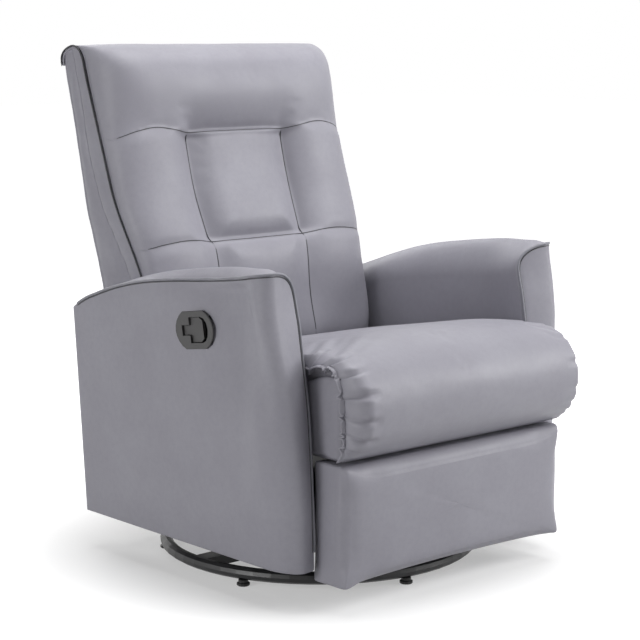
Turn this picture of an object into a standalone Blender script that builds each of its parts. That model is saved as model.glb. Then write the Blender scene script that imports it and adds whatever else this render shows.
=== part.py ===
"""Upholstered swivel glider recliner with a latch-released footrest.

Metres, +Z up. The sitter faces -Y, so the latch handle is on the sitter's right, at -X.
Left and right are the sitter's. The origin is on the floor, under the middle of the chair.
"""

import math

import bmesh
import bpy
from mathutils import Euler, Matrix, Vector
from mathutils.geometry import tessellate_polygon

# Clearances
GAP = 0.0003
PIN_CLEARANCE = 0.0003

# Arms: slabs that lean out a little, with a top that rises to the front
ARM_BOTTOM = 0.077
ARM_FRONT_TOP = 0.628
ARM_REAR_TOP = 0.508
ARM_TOP_SLOPE = 0.036
ARM_TOP_FLARE = 0.016
ARM_FLARE_LENGTH = 0.048
ARM_REAR_Y = 0.297
ARM_FRONT_Y = -0.343
ARM_FRONT_LEAN = 0.043
ARM_FRONT_FLARE = 0.012
ARM_OUTER_HALF_TOP = 0.3845
ARM_LEAN_OUT = 0.0215
ARM_OUTER_HALF_BOTTOM = ARM_OUTER_HALF_TOP - ARM_LEAN_OUT
ARM_THICKNESS = 0.0695
ARM_INNER_HALF_BOTTOM = ARM_OUTER_HALF_BOTTOM - ARM_THICKNESS
ARM_INNER_HALF_TOP = ARM_OUTER_HALF_TOP - ARM_THICKNESS
ARM_CROWN = 0.017
ARM_FRONT_CORNER = 0.014
ARM_REAR_CORNER = 0.022
ARM_BOTTOM_CORNER = 0.012
ARM_NOSE_ROUNDING = 0.020
ARM_NOSE_DEPTH = 0.060

# Round base with its glides and the swivel
BASE_Y = -0.018
RING_INSIDE_ARM = 0.049
RING_RADIUS = ARM_OUTER_HALF_BOTTOM - RING_INSIDE_ARM
RING_TUBE = 0.0125
GLIDE_FOOT_HEIGHT = 0.012
GLIDE_FOOT_RADIUS = 0.013
GLIDE_FOOT_COUNT = 6
GLIDE_FOOT_FIRST_DEG = -99.0
SPIDER_HALF_WIDTH = 0.022
SPIDER_TIP_HALF_WIDTH = 0.017
SPIDER_HALF_HEIGHT = 0.010
SPIDER_FILLET = 0.014
RACE_RADIUS = 0.080
RACE_BORE = 0.024
RACE_HEIGHT = 0.006
KING_PIN_RADIUS = 0.008
SWIVEL_PLATE_THICKNESS = 0.005
SWIVEL_PLATE_HALF_DEPTH = 0.105

# Glide: the chair hangs from four links, so that it swings level
MECHANISM_INSIDE_ARM = 0.0175
MECHANISM_RAIL_X = ARM_INNER_HALF_BOTTOM - MECHANISM_INSIDE_ARM
GLIDE_INSIDE_MECHANISM = 0.080
GLIDE_BRACKET_X = MECHANISM_RAIL_X - GLIDE_INSIDE_MECHANISM
GLIDE_STEEL = 0.004
GLIDE_WHEELBASE = 0.125
GLIDE_PIVOT_HEIGHT = 0.185
GLIDE_LINK_LENGTH = 0.103
GLIDE_UPRIGHT_WIDTH = 0.030
GLIDE_SILL = 0.026
GLIDE_FLANGE = 0.036
GLIDE_RAIL_DEPTH_BELOW_PIN = 0.016
GLIDE_RAIL_HEIGHT = 0.059
GLIDE_RAIL_FLANGE = 0.025
GLIDE_RAIL_FRONT_Y = -0.165
GLIDE_RAIL_STEEL = 0.003
LINK_HALF_WIDTH = 0.011
PIN_RADIUS = 0.005

# Cross members between the arms
CROSS_TUBE_WIDTH = 0.025
CROSS_TUBE_HEIGHT = 0.030
REAR_RAIL_Y = 0.262
REAR_RAIL_THICKNESS = 0.020
REAR_APRON_TOP = 0.278

# Steel mechanism, from the arm inwards: rail, swing link, seat plate and three layers of footrest links
MECHANISM_STEEL = 0.003
LINK_STEEL = 0.004
MECHANISM_RAIL_HEIGHT = 0.039
MECHANISM_RAIL_FRONT_Y = -0.250
SWING_LENGTH = 0.075
SWING_LEAN_DEG = 20.0
SWING_FRONT_Y = -0.050
SWING_REAR_Y = 0.110
SWING_PIN_RISE = 0.017
DRIVE_ARM = 0.040

# Seat
SEAT_PLATE_TOP = 0.2825
SEAT_PLATE_MARGIN = 0.014
SEAT_INSIDE_ARM = 0.017
SEAT_HALF_WIDTH = ARM_INNER_HALF_TOP - SEAT_INSIDE_ARM
SEAT_ROLL_INSIDE_SEAT = 0.005
SEAT_ROLL_HALF_WIDTH = SEAT_HALF_WIDTH - SEAT_ROLL_INSIDE_SEAT
SEAT_END_DRAW = 0.044
SEAT_SIDE_DRAW = 0.016
SEAT_REAR_Y = 0.141
SEAT_RAIL_THICKNESS = 0.025
SEAT_RAIL_OVERHANG = 0.0045
SEAT_RAIL_OUTER_X = MECHANISM_RAIL_X + SEAT_RAIL_OVERHANG
BLOCK_FRONT_Y = -0.400
BLOCK_THICKNESS = 0.095
BLOCK_INSIDE_SEAT = 0.014
BLOCK_HALF_WIDTH = SEAT_HALF_WIDTH - BLOCK_INSIDE_SEAT
BLOCK_TOP = 0.405
SEAT_UNDERSIDE_REAR = 0.3375
SEAT_REAR_RAIL_Y = 0.103
SEAT_PAD_FRONT = 0.072
SEAT_PAD_REAR = 0.062
SEAT_ROLL_DEPTH = 0.066
SEAT_CROWN = 0.012
SPRING_COUNT = 3
SPRING_SPACING = SEAT_HALF_WIDTH / 2
SPRING_WIRE = 0.0019
SPRING_WAVES = 8
SPRING_SWING = 0.022

# Footrest: an upholstered board that the links carry forward and turn up
FOOTREST_INSIDE_SEAT = 0.008
FOOTREST_HALF_WIDTH = SEAT_HALF_WIDTH - FOOTREST_INSIDE_SEAT
FOOTREST_BOTTOM = 0.056
FOOTREST_TOP = 0.281
FOOTREST_REAR_Y = -0.334
FOOTREST_THICKNESS = 0.078
FOOTREST_CORNER = 0.016
FOOTREST_CROWN = 0.010
FOOT_PIN_DROP = 0.030
FOOT_PIN_BEHIND = 0.016
FOLD_LINK_HALF_WIDTH = 0.0085
FOLD_PIN_RADIUS = 0.004
FOLD_ARM = 0.150
FOLD_ARM_DEG = -52.6
LONG_LINK_DEG = 144.4
SEAT_PIN_SPACING = 0.084
LONG_LINK_REACH = 0.196
GUIDE_OVERHANG = 0.050
TORQUE_TUBE_RADIUS = 0.0095
TORQUE_TUBE_BORE = 0.0075
FOOT_BRACKET_LOW = 0.110
FOOT_BRACKET_FLANGE = 0.022

# Back: built upright round its hinge and then leaned back
BACK_HINGE_Y = 0.185
BACK_HINGE_Z = 0.330
BACK_LEAN_DEG = 13.5
BACK_HALF_WIDTH_LOW = SEAT_HALF_WIDTH
BACK_SHOULDER_FLARE = 0.018
BACK_HALF_WIDTH_TOP = BACK_HALF_WIDTH_LOW + BACK_SHOULDER_FLARE
BACK_WIDENS_FROM = 0.20
BACK_WIDENS_TO = 0.42
BACK_TOP = 0.722
BACK_BOTTOM = -0.050
BACK_REAR = -0.078
BACK_TOP_CORNER = 0.040
BACK_EDGE_TOP = -0.012
BACK_EDGE_LOW = 0.085
BACK_EDGE_FOOT = -0.030
BACK_EDGE_TRIM = 0.120
BACK_WALL = 0.010
BACK_FLOOR = 0.008
BACK_FRONT = 0.083
LUMBAR_BULGE = 0.021
LUMBAR_BULGE_HEIGHT = 0.260
LUMBAR_BULGE_REACH = 0.100
HEAD_BULGE = 0.012
HEAD_BULGE_HEIGHT = 0.625
HEAD_BULGE_REACH = 0.070
BACK_CUSHION_BOTTOM = 0.030
BACK_SHOULDER = 0.075
BOARD_FRONT = -0.027
BOARD_THICKNESS = 0.020
BOARD_TOP = 0.672
BOARD_BOTTOM = -0.012
BRACKET_TOP = 0.230
BRACKET_WIDTH = 0.034
BRACKET_EAR = 0.016
HEAD_SEAM = 0.516
LUMBAR_SEAM = 0.284
SIDE_SEAM_SHARE = 0.4114
SIDE_SEAM_X = SIDE_SEAM_SHARE * BACK_HALF_WIDTH_TOP
SEAM_DEPTH = 0.013
SEAM_WIDTH = 0.014

# Latch handle in the right arm
HANDLE_Y = -0.100
HANDLE_Z = 0.503
HANDLE_TILT_DEG = 8.0
BEZEL_HALF_LENGTH = 0.0575
BEZEL_HALF_HEIGHT = 0.036
BEZEL_END_HEIGHT = 0.043
BEZEL_THICKNESS = 0.0035
BEZEL_WALL = 0.0025
BEZEL_DEPTH = 0.028
STEM_REAR = -0.036
STEM_HALF_HEIGHT = 0.010
STEM_FRONT = -0.013
GRIP_HALF_HEIGHT = 0.0245
GRIP_FRONT = 0.0235
WELL_FRONT = 0.0425
PADDLE_CLEARANCE = 0.0013
PADDLE_THICKNESS = 0.006
PADDLE_SETBACK = 0.0005

# Facets
ROUND_STEPS = 12
TUBE_SIDES = 10
RING_STEPS = 56
CORNER_STEPS = 4

# Finishes: colour, roughness and metallic value
FINISHES = {
    "grey_leather": ((0.30, 0.30, 0.335), 0.45, 0.0),
    "black_steel": ((0.02, 0.02, 0.022), 0.40, 0.6),
    "zinc_steel": ((0.42, 0.43, 0.45), 0.38, 0.9),
    "spring_steel": ((0.22, 0.22, 0.24), 0.35, 0.9),
    "plywood": ((0.55, 0.40, 0.24), 0.65, 0.0),
    "black_plastic": ((0.018, 0.018, 0.020), 0.38, 0.0),
    "black_glide": ((0.03, 0.03, 0.03), 0.55, 0.0),
}

SIDES = (("left", 1.0), ("right", -1.0))

carriers = {}
carrier_world = {}


# Helpers for the scene

def clear_scene():
    for thing in list(bpy.data.objects):
        bpy.data.objects.remove(thing, do_unlink=True)


def finish(name):
    """Principled material of one finish, made once."""
    found = bpy.data.materials.get(name)
    if found:
        return found
    colour, roughness, metallic = FINISHES[name]
    made = bpy.data.materials.new(name)
    made.use_nodes = True
    shader = made.node_tree.nodes["Principled BSDF"]
    shader.inputs["Base Color"].default_value = (*colour, 1.0)
    shader.inputs["Roughness"].default_value = roughness
    shader.inputs["Metallic"].default_value = metallic
    made.diffuse_color = (*colour, 1.0)
    return made


def carrier(name, place, parent=None, turn=(0.0, 0.0, 0.0)):
    """Empty on a joint's axis, which the pieces of that body hang from."""
    world = Matrix.Translation(Vector(place)) @ Euler(turn).to_matrix().to_4x4()
    empty = bpy.data.objects.new("at_" + name, None)
    empty.empty_display_size = 0.05
    bpy.context.scene.collection.objects.link(empty)
    if parent:
        empty.parent = carriers[parent]
        empty.matrix_basis = carrier_world[parent].inverted() @ world
    else:
        empty.matrix_basis = world
    carriers[name] = empty
    carrier_world[name] = world


def piece(name, shape, look, body, local=False):
    """Object of one solid. A shape in world space is moved to its body's axis."""
    if not local:
        shape.transform(carrier_world[body].inverted())
    bmesh.ops.remove_doubles(shape, verts=shape.verts, dist=1e-7)
    bmesh.ops.recalc_face_normals(shape, faces=shape.faces)
    mesh = bpy.data.meshes.new(name)
    shape.to_mesh(mesh)
    shape.free()
    mesh.shade_smooth()
    mesh.set_sharp_from_angle(angle=math.radians(32))
    mesh.materials.append(finish(look))
    made = bpy.data.objects.new(name, mesh)
    bpy.context.scene.collection.objects.link(made)
    made.parent = carriers[body]
    return made


def carve(target, tool_shape, operation="DIFFERENCE", local=False):
    """Boolean on one piece, with a hidden tool on the same body."""
    body = target.parent
    tool = piece(target.name + "_" + operation.lower(), tool_shape, "zinc_steel", body.name[3:], local)
    tool.hide_render = True
    tool.display_type = "WIRE"
    change = target.modifiers.new(operation.lower(), "BOOLEAN")
    change.operation = operation
    change.solver = "EXACT"
    change.object = tool


# Helpers for outlines

def circle(centre, radius, steps=ROUND_STEPS):
    angles = [2 * math.pi * i / steps for i in range(steps)]
    return [(centre[0] + radius * math.cos(a), centre[1] + radius * math.sin(a)) for a in angles]


def bore(radius, steps=ROUND_STEPS):
    """Radius of a faceted hole whose flats still clear a pin of this radius."""
    return (radius + PIN_CLEARANCE) / math.cos(math.pi / steps)


def polar(start, length, degrees):
    angle = math.radians(degrees)
    return (start[0] + length * math.cos(angle), start[1] + length * math.sin(angle))


def bar(start, end, half_width, steps=5):
    """Outline of a flat link with round ends."""
    angle = math.atan2(end[1] - start[1], end[0] - start[0])
    points = []
    for centre, first in ((end, -math.pi / 2), (start, math.pi / 2)):
        for i in range(steps + 1):
            a = angle + first + math.pi * i / steps
            points.append((centre[0] + half_width * math.cos(a), centre[1] + half_width * math.sin(a)))
    return points


def rectangle(low, high):
    return [(low[0], low[1]), (high[0], low[1]), (high[0], high[1]), (low[0], high[1])]


def rounded(points, radii, steps=CORNER_STEPS):
    """Outline with each corner turned by an arc of its own radius."""
    made = []
    count = len(points)
    for i, radius in enumerate(radii):
        corner = Vector(points[i])
        before = Vector(points[i - 1]) - corner
        after = Vector(points[(i + 1) % count]) - corner
        half = before.angle(after) / 2
        reach = min(radius / math.tan(half), 0.49 * before.length, 0.49 * after.length)
        if reach < 1e-6:
            made.append(tuple(corner))
            continue
        first = corner + before.normalized() * reach
        last = corner + after.normalized() * reach
        centre = corner + (before.normalized() + after.normalized()).normalized() * (reach / math.cos(half))
        spoke = first - centre
        sweep = spoke.angle_signed(last - centre)
        for k in range(steps + 1):
            a = -sweep * k / steps
            c, s = math.cos(a), math.sin(a)
            made.append((centre.x + c * spoke.x - s * spoke.y, centre.y + s * spoke.x + c * spoke.y))
    return made


def area(outline):
    total = 0.0
    for i, point in enumerate(outline):
        after = outline[(i + 1) % len(outline)]
        total += point[0] * after[1] - after[0] * point[1]
    return total / 2


def inward(outline):
    """Unit normals that point into the outline, one for each point."""
    turn = 1.0 if area(outline) > 0 else -1.0
    normals = []
    for i, point in enumerate(outline):
        before = Vector(point) - Vector(outline[i - 1])
        after = Vector(outline[(i + 1) % len(outline)]) - Vector(point)
        along = (before.normalized() + after.normalized()).normalized()
        normals.append((-along.y * turn, along.x * turn))
    return normals


def inset(outline, amounts):
    if isinstance(amounts, float):
        amounts = [amounts] * len(outline)
    return [
        (p[0] + n[0] * d, p[1] + n[1] * d)
        for p, n, d in zip(outline, inward(outline), amounts)
    ]


def smooth(value, low, high):
    share = min(max((value - low) / (high - low), 0.0), 1.0)
    return share * share * (3 - 2 * share)


def lerp(low, high, share):
    return low + (high - low) * share


# Helpers for solids

AXIS_PLACES = {
    "X": lambda a, b, t: (t, a, b),
    "Y": lambda a, b, t: (a, t, b),
    "Z": lambda a, b, t: (a, b, t),
}


def ring_walls(shape, first, second):
    for i in range(len(first)):
        k = (i + 1) % len(first)
        shape.faces.new((first[i], first[k], second[k], second[i]))


def prism(outline, low, high, along="X", holes=(), studs=()):
    """Flat outline given a thickness. Holes go through, and each stud stands out of one face."""
    place = AXIS_PLACES[along]
    loops = [list(outline)]
    loops += [circle(centre, radius) for centre, radius in holes]
    loops += [circle(centre, radius) for centre, radius, end in studs]
    triangles = tessellate_polygon([[Vector((a, b, 0.0)) for a, b in loop] for loop in loops])
    shape = bmesh.new()
    layers = []
    for t in (low, high):
        layers.append([[shape.verts.new(place(a, b, t)) for a, b in loop] for loop in loops])
    for layer in layers:
        flat = [vert for loop in layer for vert in loop]
        for triangle in triangles:
            shape.faces.new([flat[i] for i in triangle])
    for k in range(1 + len(holes)):
        ring_walls(shape, layers[0][k], layers[1][k])
    for k, (centre, radius, end) in enumerate(studs, 1 + len(holes)):
        from_high = end > high
        shape.faces.new(layers[0 if from_high else 1][k])
        tip = [shape.verts.new(place(a, b, end)) for a, b in loops[k]]
        ring_walls(shape, layers[1 if from_high else 0][k], tip)
        shape.faces.new(tip)
    return shape


def loft(rings, closed=False):
    """Skin over rings of equal counts, with flat ends, or joined end to end."""
    shape = bmesh.new()
    made = [[shape.verts.new(point) for point in ring] for ring in rings]
    for first, second in zip(made, made[1:]):
        ring_walls(shape, first, second)
    if closed:
        ring_walls(shape, made[-1], made[0])
    else:
        shape.faces.new(made[0])
        shape.faces.new(made[-1])
    return shape


def turned(profile, centre, steps=24):
    """Closed profile of (radius, height) points turned about an upright axis."""
    rings = []
    for i in range(steps):
        a = 2 * math.pi * i / steps
        rings.append(
            [(centre[0] + r * math.cos(a), centre[1] + r * math.sin(a), z) for r, z in profile]
        )
    return loft(rings, closed=True)


def block(low, high):
    return prism(rectangle(low[:2], high[:2]), low[2], high[2], along="Z")


def joined(*shapes):
    """One set of separate bodies, for use as a cutter."""
    total = bmesh.new()
    for shape in shapes:
        mesh = bpy.data.meshes.new("joined")
        shape.to_mesh(mesh)
        shape.free()
        total.from_mesh(mesh)
        bpy.data.meshes.remove(mesh)
    return total


def span(side, near, far):
    """Low and high X of something that lies between two distances from the middle plane."""
    return (side * near, side * far) if side > 0 else (side * far, side * near)


# Sizes that follow from the driving dimensions

def arm_outer(z):
    share = (z - ARM_BOTTOM) / (ARM_FRONT_TOP - ARM_BOTTOM)
    return lerp(ARM_OUTER_HALF_BOTTOM, ARM_OUTER_HALF_TOP, share)


def arm_inner(z):
    return arm_outer(z) - ARM_THICKNESS


def arm_front(z):
    """How far forward the arm's front edge lies. It leans back as it rises and flares forward at the top."""
    share = min(max((z - ARM_BOTTOM) / (ARM_FRONT_TOP - ARM_BOTTOM), 0.0), 1.0)
    return ARM_FRONT_Y + ARM_FRONT_LEAN * share ** 2 - ARM_FRONT_FLARE * smooth(share, 0.88, 1.0)


def arm_edge_height(y):
    """Height of the welt along the arm's outer top edge, which flares up at the front."""
    behind = max(y - arm_front(ARM_FRONT_TOP), 0.0)
    share = behind / (ARM_REAR_Y - arm_front(ARM_FRONT_TOP))
    flare = ARM_TOP_FLARE * (1 - math.exp(-((behind / ARM_FLARE_LENGTH) ** 2)))
    fall = ARM_FRONT_TOP - ARM_TOP_FLARE - ARM_TOP_SLOPE - ARM_REAR_TOP
    return ARM_FRONT_TOP - flare - ARM_TOP_SLOPE * share - fall * share ** 4


def seat_underside(y):
    """Height of the flat underside of the seat pad, which slopes down to the back."""
    front = BLOCK_FRONT_Y + BLOCK_THICKNESS
    share = (y - front) / (SEAT_REAR_Y - front)
    return lerp(BLOCK_TOP + GAP, SEAT_UNDERSIDE_REAR, min(max(share, 0.0), 1.0))


def back_half_width(u):
    return lerp(BACK_HALF_WIDTH_LOW, BACK_HALF_WIDTH_TOP, smooth(u, BACK_WIDENS_FROM, BACK_WIDENS_TO))


def back_edge(u):
    """How far forward the welt at the front of the back's side wall lies. It draws back beside the seat."""
    welt = lerp(BACK_EDGE_LOW, BACK_EDGE_TOP, min(max(u / BACK_TOP, 0.0), 1.0))
    return lerp(BACK_EDGE_FOOT, welt, smooth(u, BACK_BOTTOM, BACK_EDGE_TRIM))


RING_Z = GLIDE_FOOT_HEIGHT + GAP + RING_TUBE
RACE_BOTTOM = RING_Z + SPIDER_HALF_HEIGHT + GAP
SWIVEL_PLATE_BOTTOM = RACE_BOTTOM + RACE_HEIGHT + GAP
SWIVEL_PLATE_TOP = SWIVEL_PLATE_BOTTOM + SWIVEL_PLATE_THICKNESS
GLIDE_FRONT_Y = BASE_Y - GLIDE_WHEELBASE / 2
GLIDE_REAR_Y = BASE_Y + GLIDE_WHEELBASE / 2
GLIDE_LOW_PIN_Z = GLIDE_PIVOT_HEIGHT - GLIDE_LINK_LENGTH
GLIDE_LINK_X = GLIDE_BRACKET_X + GLIDE_STEEL + GAP
GLIDE_RAIL_X = GLIDE_LINK_X + GLIDE_STEEL + GAP
GLIDE_RAIL_TOP = GLIDE_LOW_PIN_Z - GLIDE_RAIL_DEPTH_BELOW_PIN + GLIDE_RAIL_HEIGHT
CROSS_BOTTOM = GLIDE_RAIL_TOP + GAP
CROSS_TOP = CROSS_BOTTOM + CROSS_TUBE_HEIGHT
MECHANISM_BOTTOM = CROSS_TOP + GAP
SWING_PIN_Z = MECHANISM_BOTTOM + SWING_PIN_RISE
SWING_X = MECHANISM_RAIL_X - GAP - LINK_STEEL
SEAT_PLATE_X = SWING_X - GAP - MECHANISM_STEEL
OUTER_LINK_X = SEAT_PLATE_X - GAP - LINK_STEEL
INNER_LINK_X = OUTER_LINK_X - GAP - LINK_STEEL
BRACE_LINK_X = INNER_LINK_X - GAP - LINK_STEEL
SEAT_FRAME_BOTTOM = SEAT_PLATE_TOP + GAP
BLOCK_REAR_Y = BLOCK_FRONT_Y + BLOCK_THICKNESS

SWING_FRONT_LOW = (SWING_FRONT_Y, SWING_PIN_Z)
SWING_REAR_LOW = (SWING_REAR_Y, SWING_PIN_Z)
SWING_FRONT_HIGH = polar(SWING_FRONT_LOW, SWING_LENGTH, 90.0 - SWING_LEAN_DEG)
SWING_REAR_HIGH = polar(SWING_REAR_LOW, SWING_LENGTH, 90.0 - SWING_LEAN_DEG)
DRIVE_PIN = polar(SWING_REAR_HIGH, DRIVE_ARM, 90.0 - SWING_LEAN_DEG)
BACK_HINGE = (BACK_HINGE_Y, BACK_HINGE_Z)
BACK_DRIVE_PIN = polar(BACK_HINGE, DRIVE_ARM, SWING_LEAN_DEG - 90.0)

FOOT_PIN_HIGH = (FOOTREST_REAR_Y + FOOT_PIN_BEHIND, FOOTREST_TOP - FOOT_PIN_DROP)
FOLD_ELBOW = polar(FOOT_PIN_HIGH, SEAT_PIN_SPACING + LONG_LINK_REACH, LONG_LINK_DEG - 180.0)
FOLD_PIN = polar(FOLD_ELBOW, FOLD_ARM, FOLD_ARM_DEG + 180.0)
GUIDE_PIN = polar(FOLD_PIN, SEAT_PIN_SPACING, LONG_LINK_DEG)
CROSS_PIN = polar(GUIDE_PIN, FOLD_ARM, FOLD_ARM_DEG)
GUIDE_TIP = polar(CROSS_PIN, GUIDE_OVERHANG, FOLD_ARM_DEG)
FOOT_PIN_LOW = polar(FOOT_PIN_HIGH, GUIDE_OVERHANG, FOLD_ARM_DEG)

HANDLE_FACE_TILT = math.atan2(ARM_OUTER_HALF_TOP - ARM_OUTER_HALF_BOTTOM, ARM_FRONT_TOP - ARM_BOTTOM)


# Bodies

def handle_axes():
    """Place of the handle: its X runs forward along the arm, Y up the arm and Z out of it."""
    up = Vector((-math.sin(HANDLE_FACE_TILT), 0.0, math.cos(HANDLE_FACE_TILT)))
    ahead = Vector((0.0, -1.0, 0.0))
    tilt = math.radians(HANDLE_TILT_DEG)
    along = ahead * math.cos(tilt) + up * math.sin(tilt)
    across = up * math.cos(tilt) - ahead * math.sin(tilt)
    turn = Matrix((along, across, along.cross(across))).transposed()
    return (-arm_outer(HANDLE_Z), HANDLE_Y, HANDLE_Z), turn


def make_carriers():
    def at(point):
        return (0.0, point[0], point[1])

    carrier("base", (0.0, BASE_Y, 0.0))
    carrier("swivel", (0.0, BASE_Y, SWIVEL_PLATE_BOTTOM), "base")
    carrier("glide_front", at((GLIDE_FRONT_Y, GLIDE_PIVOT_HEIGHT)), "swivel")
    carrier("glide_rear", at((GLIDE_REAR_Y, GLIDE_PIVOT_HEIGHT)), "swivel")
    carrier("frame", at((GLIDE_FRONT_Y, GLIDE_LOW_PIN_Z)), "glide_front")
    carrier("swing_front", at(SWING_FRONT_LOW), "frame")
    carrier("swing_rear", at(SWING_REAR_LOW), "frame")
    carrier("seat", at(SWING_FRONT_HIGH), "swing_front")
    carrier("drive", at(DRIVE_PIN), "swing_rear")
    carrier("back", at(BACK_HINGE), "seat", (-math.radians(BACK_LEAN_DEG), 0.0, 0.0))
    carrier("fold", at(FOLD_PIN), "seat")
    carrier("guide", at(GUIDE_PIN), "seat")
    carrier("carry", at(FOLD_ELBOW), "fold")
    carrier("brace", at(GUIDE_TIP), "guide")
    carrier("footrest", at(FOOT_PIN_HIGH), "carry")
    place, turn = handle_axes()
    carrier("bezel", place, "frame", turn.to_euler())
    barrel = PADDLE_THICKNESS / 2
    hinge = Vector((STEM_REAR + PADDLE_CLEARANCE + barrel, 0.0, -PADDLE_SETBACK - barrel))
    carrier("handle", Vector(place) + turn @ hinge, "bezel", turn.to_euler())


# Base and swivel

def ring_rings(tube):
    rings = []
    for i in range(RING_STEPS):
        a = 2 * math.pi * i / RING_STEPS
        rings.append([
            ((RING_RADIUS + r) * math.cos(a), BASE_Y + (RING_RADIUS + r) * math.sin(a), RING_Z + h)
            for r, h in circle((0.0, 0.0), tube, TUBE_SIDES)
        ])
    return rings


def make_base():
    piece("base_ring", loft(ring_rings(RING_TUBE), closed=True), "black_steel", "base")
    arm, width, tip = RING_RADIUS, SPIDER_HALF_WIDTH, SPIDER_TIP_HALF_WIDTH
    cross = []
    for k in range(4):
        c, s = round(math.cos(k * math.pi / 2)), round(math.sin(k * math.pi / 2))
        for a, b in ((arm, -tip), (arm, tip), (width, width)):
            cross.append((c * a - s * b, BASE_Y + s * a + c * b))
    cross = rounded(cross, [0.0, 0.0, SPIDER_FILLET] * 4)
    spider = prism(
        cross, RING_Z - SPIDER_HALF_HEIGHT, RING_Z + SPIDER_HALF_HEIGHT, "Z",
        holes=[((0.0, BASE_Y), bore(KING_PIN_RADIUS))],
    )
    carve(piece("base_spider", spider, "black_steel", "base"),
          loft(ring_rings(RING_TUBE + 2 * GAP), closed=True))
    for k in range(GLIDE_FOOT_COUNT):
        a = math.radians(GLIDE_FOOT_FIRST_DEG) + 2 * math.pi * k / GLIDE_FOOT_COUNT
        centre = (RING_RADIUS * math.cos(a), BASE_Y + RING_RADIUS * math.sin(a))
        wide, slim = GLIDE_FOOT_RADIUS, 0.75 * GLIDE_FOOT_RADIUS
        steps = (
            (0.86 * wide, 0.0),
            (wide, 0.15 * GLIDE_FOOT_HEIGHT),
            (wide, 0.45 * GLIDE_FOOT_HEIGHT),
            (slim, 0.60 * GLIDE_FOOT_HEIGHT),
            (slim, GLIDE_FOOT_HEIGHT),
        )
        rings = [[(x, y, z) for x, y in circle(centre, r)] for r, z in steps]
        piece("floor_glide_%d" % (k + 1), loft(rings), "black_glide", "base")
    groove = 0.25 * RACE_HEIGHT
    middle = (RACE_RADIUS + RACE_BORE) / 2
    race = [
        (RACE_BORE, RACE_BOTTOM),
        (RACE_RADIUS, RACE_BOTTOM),
        (RACE_RADIUS, RACE_BOTTOM + RACE_HEIGHT),
        (middle + 2 * groove, RACE_BOTTOM + RACE_HEIGHT),
        (middle, RACE_BOTTOM + RACE_HEIGHT - groove),
        (middle - 2 * groove, RACE_BOTTOM + RACE_HEIGHT),
        (RACE_BORE, RACE_BOTTOM + RACE_HEIGHT),
    ]
    piece("swivel_race", turned(race, (0.0, BASE_Y)), "zinc_steel", "base")


def make_swivel():
    half = GLIDE_BRACKET_X + GLIDE_STEEL
    plate = rounded(
        rectangle((-half, BASE_Y - SWIVEL_PLATE_HALF_DEPTH), (half, BASE_Y + SWIVEL_PLATE_HALF_DEPTH)),
        [0.02] * 4,
    )
    pin_end = RING_Z - SPIDER_HALF_HEIGHT
    shape = prism(
        plate, SWIVEL_PLATE_BOTTOM, SWIVEL_PLATE_TOP, "Z",
        studs=[((0.0, BASE_Y), KING_PIN_RADIUS, pin_end)],
    )
    piece("swivel_plate", shape, "zinc_steel", "swivel")
    for name, side in SIDES:
        glide_bracket("glide_bracket_" + name, side)


def glide_bracket(name, side):
    """Two uprights on one sill, with a foot flange that bolts to the swivel plate."""
    foot = SWIVEL_PLATE_TOP + GAP
    sill = foot + GLIDE_SILL
    top = GLIDE_PIVOT_HEIGHT + GLIDE_UPRIGHT_WIDTH / 2
    half = GLIDE_UPRIGHT_WIDTH / 2
    front, rear = GLIDE_FRONT_Y, GLIDE_REAR_Y
    points = [
        (front - half, foot), (rear + half, foot), (rear + half, top), (rear - half, top),
        (rear - half, sill), (front + half, sill), (front + half, top), (front - half, top),
    ]
    round_end = 0.8 * half
    outline = rounded(points, [0, 0, round_end, round_end, 0.008, 0.008, round_end, round_end])
    holes = [((y, GLIDE_PIVOT_HEIGHT), bore(PIN_RADIUS)) for y in (front, rear)]
    web = span(side, GLIDE_BRACKET_X, GLIDE_BRACKET_X + GLIDE_STEEL)
    made = piece(name, prism(outline, *web, holes=holes), "black_steel", "swivel")
    flange = span(side, GLIDE_BRACKET_X - GLIDE_FLANGE, GLIDE_BRACKET_X + GLIDE_STEEL / 2)
    carve(made, block((flange[0], front - half, foot), (flange[1], rear + half, foot + GLIDE_STEEL)), "UNION")


def make_glide_links():
    for name, side in SIDES:
        for end, y in (("front", GLIDE_FRONT_Y), ("rear", GLIDE_REAR_Y)):
            low, high = (y, GLIDE_LOW_PIN_Z), (y, GLIDE_PIVOT_HEIGHT)
            studs = [
                (high, PIN_RADIUS, side * (GLIDE_BRACKET_X - GLIDE_STEEL / 2)),
                (low, PIN_RADIUS, side * (GLIDE_RAIL_X + GLIDE_RAIL_STEEL + GLIDE_STEEL / 2)),
            ]
            shape = prism(
                bar(low, high, LINK_HALF_WIDTH),
                *span(side, GLIDE_LINK_X, GLIDE_LINK_X + GLIDE_STEEL),
                studs=studs,
            )
            piece("glide_link_%s_%s" % (end, name), shape, "zinc_steel", "glide_" + end)


# Frame under the seat

def make_frame():
    for name, side in SIDES:
        glide_rail("glide_rail_" + name, side)
        mechanism_rail("mechanism_rail_" + name, side)
    middle = BASE_Y
    cross_member("cross_tube", middle - CROSS_TUBE_WIDTH / 2, middle + CROSS_TUBE_WIDTH / 2, "black_steel")
    cross_member("rear_rail", REAR_RAIL_Y, REAR_RAIL_Y + REAR_RAIL_THICKNESS, "plywood")
    half = MECHANISM_RAIL_X - GAP
    apron = rounded(rectangle((-half, MECHANISM_BOTTOM), (half, REAR_APRON_TOP)), [0.004, 0.004, 0.02, 0.02])
    shape = prism(apron, REAR_RAIL_Y, REAR_RAIL_Y + REAR_RAIL_THICKNESS, "Y")
    piece("rear_apron", shape, "grey_leather", "frame")


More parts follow.
